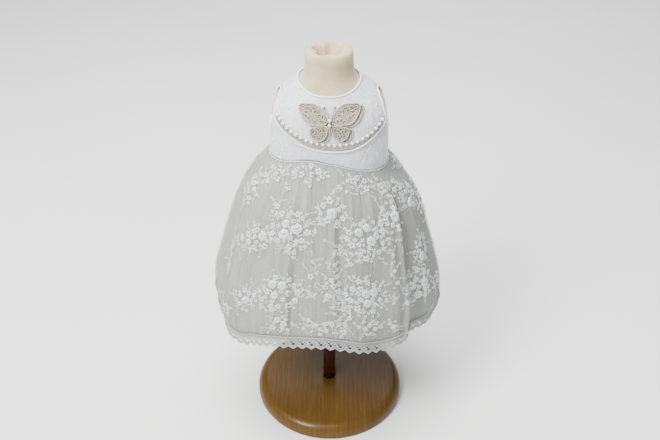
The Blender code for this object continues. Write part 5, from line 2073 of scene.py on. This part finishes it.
@dataclass
class HemLace:
    """Cotton edging with points, rows of eyelets and a raised cord along its top."""

    bell: BellGuide
    cloth: ClothMap
    repeats: int = 78
    cells_across: int = 18
    cells_down: int = 24
    height: float = 17.0 * MM
    point: float = 4.0 * MM
    sharpness: float = 1.15
    pitch: float = 11.3 * MM
    wall: float = 0.8 * MM
    # across and down one repeat, radius, in millimetres: a V of eyelets over a large one
    eyelets: Table = (
        (6.2, 10.2, 2.00), (4.0, 6.9, 1.45), (9.0, 7.3, 0.95), (2.0, 4.6, 0.95),
        (10.0, 5.2, 0.80), (0.9, 2.9, 0.65), (10.4, 3.1, 0.60), (6.4, 4.6, 0.85),
        (0.0, 8.8, 0.95), (11.3, 8.8, 0.95), (2.4, 11.4, 0.90), (9.8, 11.6, 0.80),
        (4.4, 13.9, 0.60), (7.6, 13.9, 0.60), (4.2, 2.7, 0.65), (7.9, 2.8, 0.60),
    )

    def chart(self) -> tuple[Array, Array, Array, Array]:
        """One repeat's grid with its eyelets opened.

        The lower edge rises from each point as a power of the distance from it. Grid points
        near an eyelet are moved onto its rim, and quads inside it are left out.

        Returns:
            Across, down and lift of each point, and which quads stay.
        """
        s = np.linspace(0, self.pitch, self.cells_across + 1) / MM
        v = np.linspace(0, 1, self.cells_down + 1)
        s, v = np.meshgrid(s, v)
        middle = self.pitch / MM / 2
        fall = self.point * (np.abs(s - middle) / middle) ** self.sharpness
        t = v * (self.height - fall) / MM
        lift = 0.10 * np.sin(np.minimum(v * 3, 1) * math.pi)
        cell = self.pitch / MM / self.cells_across
        keep = np.ones((self.cells_down, self.cells_across), bool)
        cs = (s[:-1, :-1] + s[1:, 1:]) / 2
        ct = (t[:-1, :-1] + t[1:, 1:] + t[:-1, 1:] + t[1:, :-1]) / 4
        ends = np.zeros_like(s, bool)
        ends[:, 0] = ends[:, -1] = True
        for x, y, radius in self.eyelets:
            keep &= np.hypot(cs - x, ct - y) > radius
        for x, y, radius in self.eyelets:
            away = np.hypot(s - x, t - y)
            near = away < radius + 0.45 * cell
            size = np.where(near, radius / np.maximum(away, 1e-6), 1.0)
            s = np.where(near & ~ends, x + (s - x) * size, s)
            t = np.where(near, y + (t - y) * size, t)
            lift = lift + 0.30 * np.exp(-((away - radius) / 0.5) ** 2)
        return s * MM, t * MM, lift * MM, keep

    def spread(self, repeat: Array, step: float) -> Array:
        """One repeat's columns, set side by side all round, `step` further each time."""
        moved = repeat[:, :-1][:, None] + np.arange(self.repeats)[None, :, None] * step
        return moved.reshape(len(repeat), -1)

    def build(self) -> list[Piece]:
        """Make the edging, its top cord and the cord of its points."""
        s, t, lift, keep = self.chart()
        across, down, up = self.spread(s, self.pitch), self.spread(t, 0.0), self.spread(lift, 0.0)
        columns = across.shape[1]
        whole = self.repeats * self.pitch
        angle = across / whole * math.tau - math.pi
        length = self.bell.length
        top = 1.0 - self.height / length
        points = self.cloth.at(angle, top + down / length, up + 0.25 * MM)
        index, corner = lattice(len(s), columns, False, True)
        stay = np.tile(keep, (1, self.repeats)).ravel()
        index, corner = index[stay][:, ::-1], corner[stay][:, ::-1]
        flat = np.stack([across, -down], -1).reshape(-1, 2)[index]
        flat[..., 0] += corner[..., 1] // columns * whole
        used, inverse = np.unique(index, return_inverse=True)
        bundle = Bundle()
        bundle.add(points.reshape(-1, 3)[used], inverse.reshape(index.shape), flat)
        edging = place_piece(bundle, "lace_edging", HEM_THREAD, Slot.HEM, "hem_lace",
                             wall=self.wall)

        fine = all_round(2400, -math.pi)
        along_pitch = (fine + math.pi) / math.tau * self.repeats % 1.0
        tooth = self.height - self.point * (2 * np.abs(along_pitch - 0.5)) ** self.sharpness
        cords = Bundle()
        for level, rise, radius in (
            (0 * fine - 0.1 * MM, 0.9, 0.95), (0 * fine + 1.9 * MM, 0.7, 0.45),
            (tooth - 0.2 * MM, 0.2, 0.55),
        ):
            place = partial(self.cloth.at, fine, top + level / length)
            Rope(radius * MM, strands=2, pitch=3.2 * MM, depth=0.25, sides=6, step=0.8 * MM).lay(
                cords, place, rise * MM, closed=True)
        return [edging, place_piece(cords, "lace_cords", HEM_THREAD, Slot.HEM, "hem_cord")]

@dataclass
class Skirt:
    """The gathered skirt: embroidered tulle over plain tulle over a lining."""

    bell: BellGuide
    knots: int = 220

    def build(self) -> None:
        """Make the three layers, the embroidery, the lace and the gathered heading."""
        lace = HemLace.height / self.bell.length
        outer = SkirtLayer(self.bell, "tulle_skirt", "skirt_embroidered", OUTER_TULLE,
                           Slot.TULLE, Gathers(21), end=1.0 - lace)
        under = SkirtLayer(self.bell, "plain_tulle_skirt", "skirt_tulle", UNDER_TULLE,
                           Slot.PLAIN_TULLE, Gathers(22, 120, 80, 0.3 * MM, 0.5 * MM),
                           end=0.945, caught=((12, 14, 0.012),), columns=420,
                           rows=34, inset_top=1.0 * MM, inset_hem=1.5 * MM, fold_share=0.97,
                           crease_share=0.95, width=0.88)
        lining = SkirtLayer(self.bell, "batiste_lining", "skirt_lining", LINING, Slot.LINING,
                            Gathers(23, 90, 60, 0.3 * MM, 0.5 * MM), end=0.945,
                            caught=((3, 7, 0.020), (17, 9, 0.016)), columns=400, rows=28,
                            inset_top=2.0 * MM, inset_hem=2.7 * MM, fold_share=0.95,
                            crease_share=0.9, width=0.80, wall=0.4 * MM)
        skirt = outer.build()
        whole = outer.drape(1.0, 80)
        plain, inside = under.build(), lining.build()
        sprays = Embroidery(self.bell, whole).build()
        edging, cords = HemLace(self.bell, whole).build()
        seam = self.heading(whole)

    def heading(self, cloth: ClothMap) -> Piece:
        """Gathered heading of the skirt, a soft puckered edge under the bodice."""
        angles = all_round(1200, -math.pi)
        knots = np.random.default_rng(31).uniform(0.55, 1.25, self.knots)
        swell = np.interp((angles + math.pi) / math.tau * self.knots, np.arange(self.knots + 1),
                          np.append(knots, knots[0]))
        bundle = Bundle()
        Rope(0.45 * MM, strands=1, sides=6, step=0.7 * MM).lay(
            bundle, partial(cloth.at, angles, 0.004), 0.10 * MM, closed=True, swell=swell)
        return place_piece(bundle, "gathered_heading", SCROLLS, Slot.TULLE)


# ------------------------------------------------------------------------------- studio

@dataclass
class Studio:
    """Pale floor, soft lights and the camera."""

    camera_place: tuple[float, float, float] = (0.001, -0.884, 0.934)
    pitch: float = math.radians(35)
    lens: float = 43.64
    sensor: float = 36.0
    aim: tuple[float, float, float] = (0.0, 0.0, 0.32)
    # name, place, side in metres, watts, colour
    lamps: tuple[tuple[Any, ...], ...] = (
        ("key", (-1.1, -1.1, 2.0), 0.8, 116.0, "#FFFDFA"),
        ("fill", (1.7, -1.3, 1.4), 1.6, 3.0, "#F8FBFF"),
        ("top", (-0.2, 0.1, 2.4), 1.4, 106.0, "#FFFFFF"),
        ("back", (0.3, 2.0, 1.5), 1.6, 20.0, "#FFFFFF"),
    )
    sky: str = "#F4F6F8"
    sky_strength: float = 0.46
    floor_reach: float = 12.0
    floor_drop: float = 0.3 * MM

    def light(self, name: str, place: tuple, size: float, watts: float, colour: str) -> None:
        """Add a soft square light that faces the gown."""
        data = bpy.data.lights.new(name, "AREA")
        data.shape = "SQUARE"
        data.size = size
        data.energy = watts
        data.color = linear(colour)[:3]
        lamp = bpy.data.objects.new(name, data)
        bpy.context.scene.collection.objects.link(lamp)
        away = unit(np.array(place, float) - np.array(self.aim))
        lamp.location = place
        lamp.rotation_euler = (math.acos(away[2]), 0.0, math.atan2(away[0], -away[1]))

    def build(self) -> None:
        """Set the floor, the lights, the world and the camera."""
        bundle = Bundle()
        reach = np.array([-self.floor_reach, self.floor_reach])
        x, y = np.meshgrid(reach, reach)
        points = np.stack([x, y, np.full_like(x, -self.floor_drop)], -1)
        bundle.grid(points, points[..., :2])
        floor = bundle.mesh("floor")
        floor.data.materials.append(FLOOR.material())
        floor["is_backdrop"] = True
        for lamp in self.lamps:
            self.light(*lamp)

        world = bpy.data.worlds.new("studio")
        world.use_nodes = True
        fill(world.node_tree, world.node_tree.nodes["Background"],
             (linear(self.sky), self.sky_strength))
        bpy.context.scene.world = world

        data = bpy.data.cameras.new("camera")
        data.lens = self.lens
        data.sensor_width = self.sensor
        camera = bpy.data.objects.new("camera", data)
        camera.location = self.camera_place
        camera.rotation_euler = (math.pi / 2 - self.pitch, 0.0, 0.0)
        bpy.context.scene.collection.objects.link(camera)
        bpy.context.scene.camera = camera


def corners(bounds: Any) -> list[list[float]]:
    """A box's lowest and highest corners as plain numbers."""
    return [[float(v) for v in corner] for corner in bounds]


def main() -> None:
    """Build the stand, the form, the gown and the studio."""
    logging.basicConfig(level=logging.INFO, format="%(name)s: %(message)s")
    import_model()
    sizes: Sizes = {"cad": corners(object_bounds())}
    Studio().build()
    guide = FormGuide()
    Stand().build()
    JerseyForm(guide).build()
    Skirt(BellGuide(guide)).build()
    Bodice(guide).build()
    sizes["visual"] = corners(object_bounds())


if __name__ == "__main__":
    main()
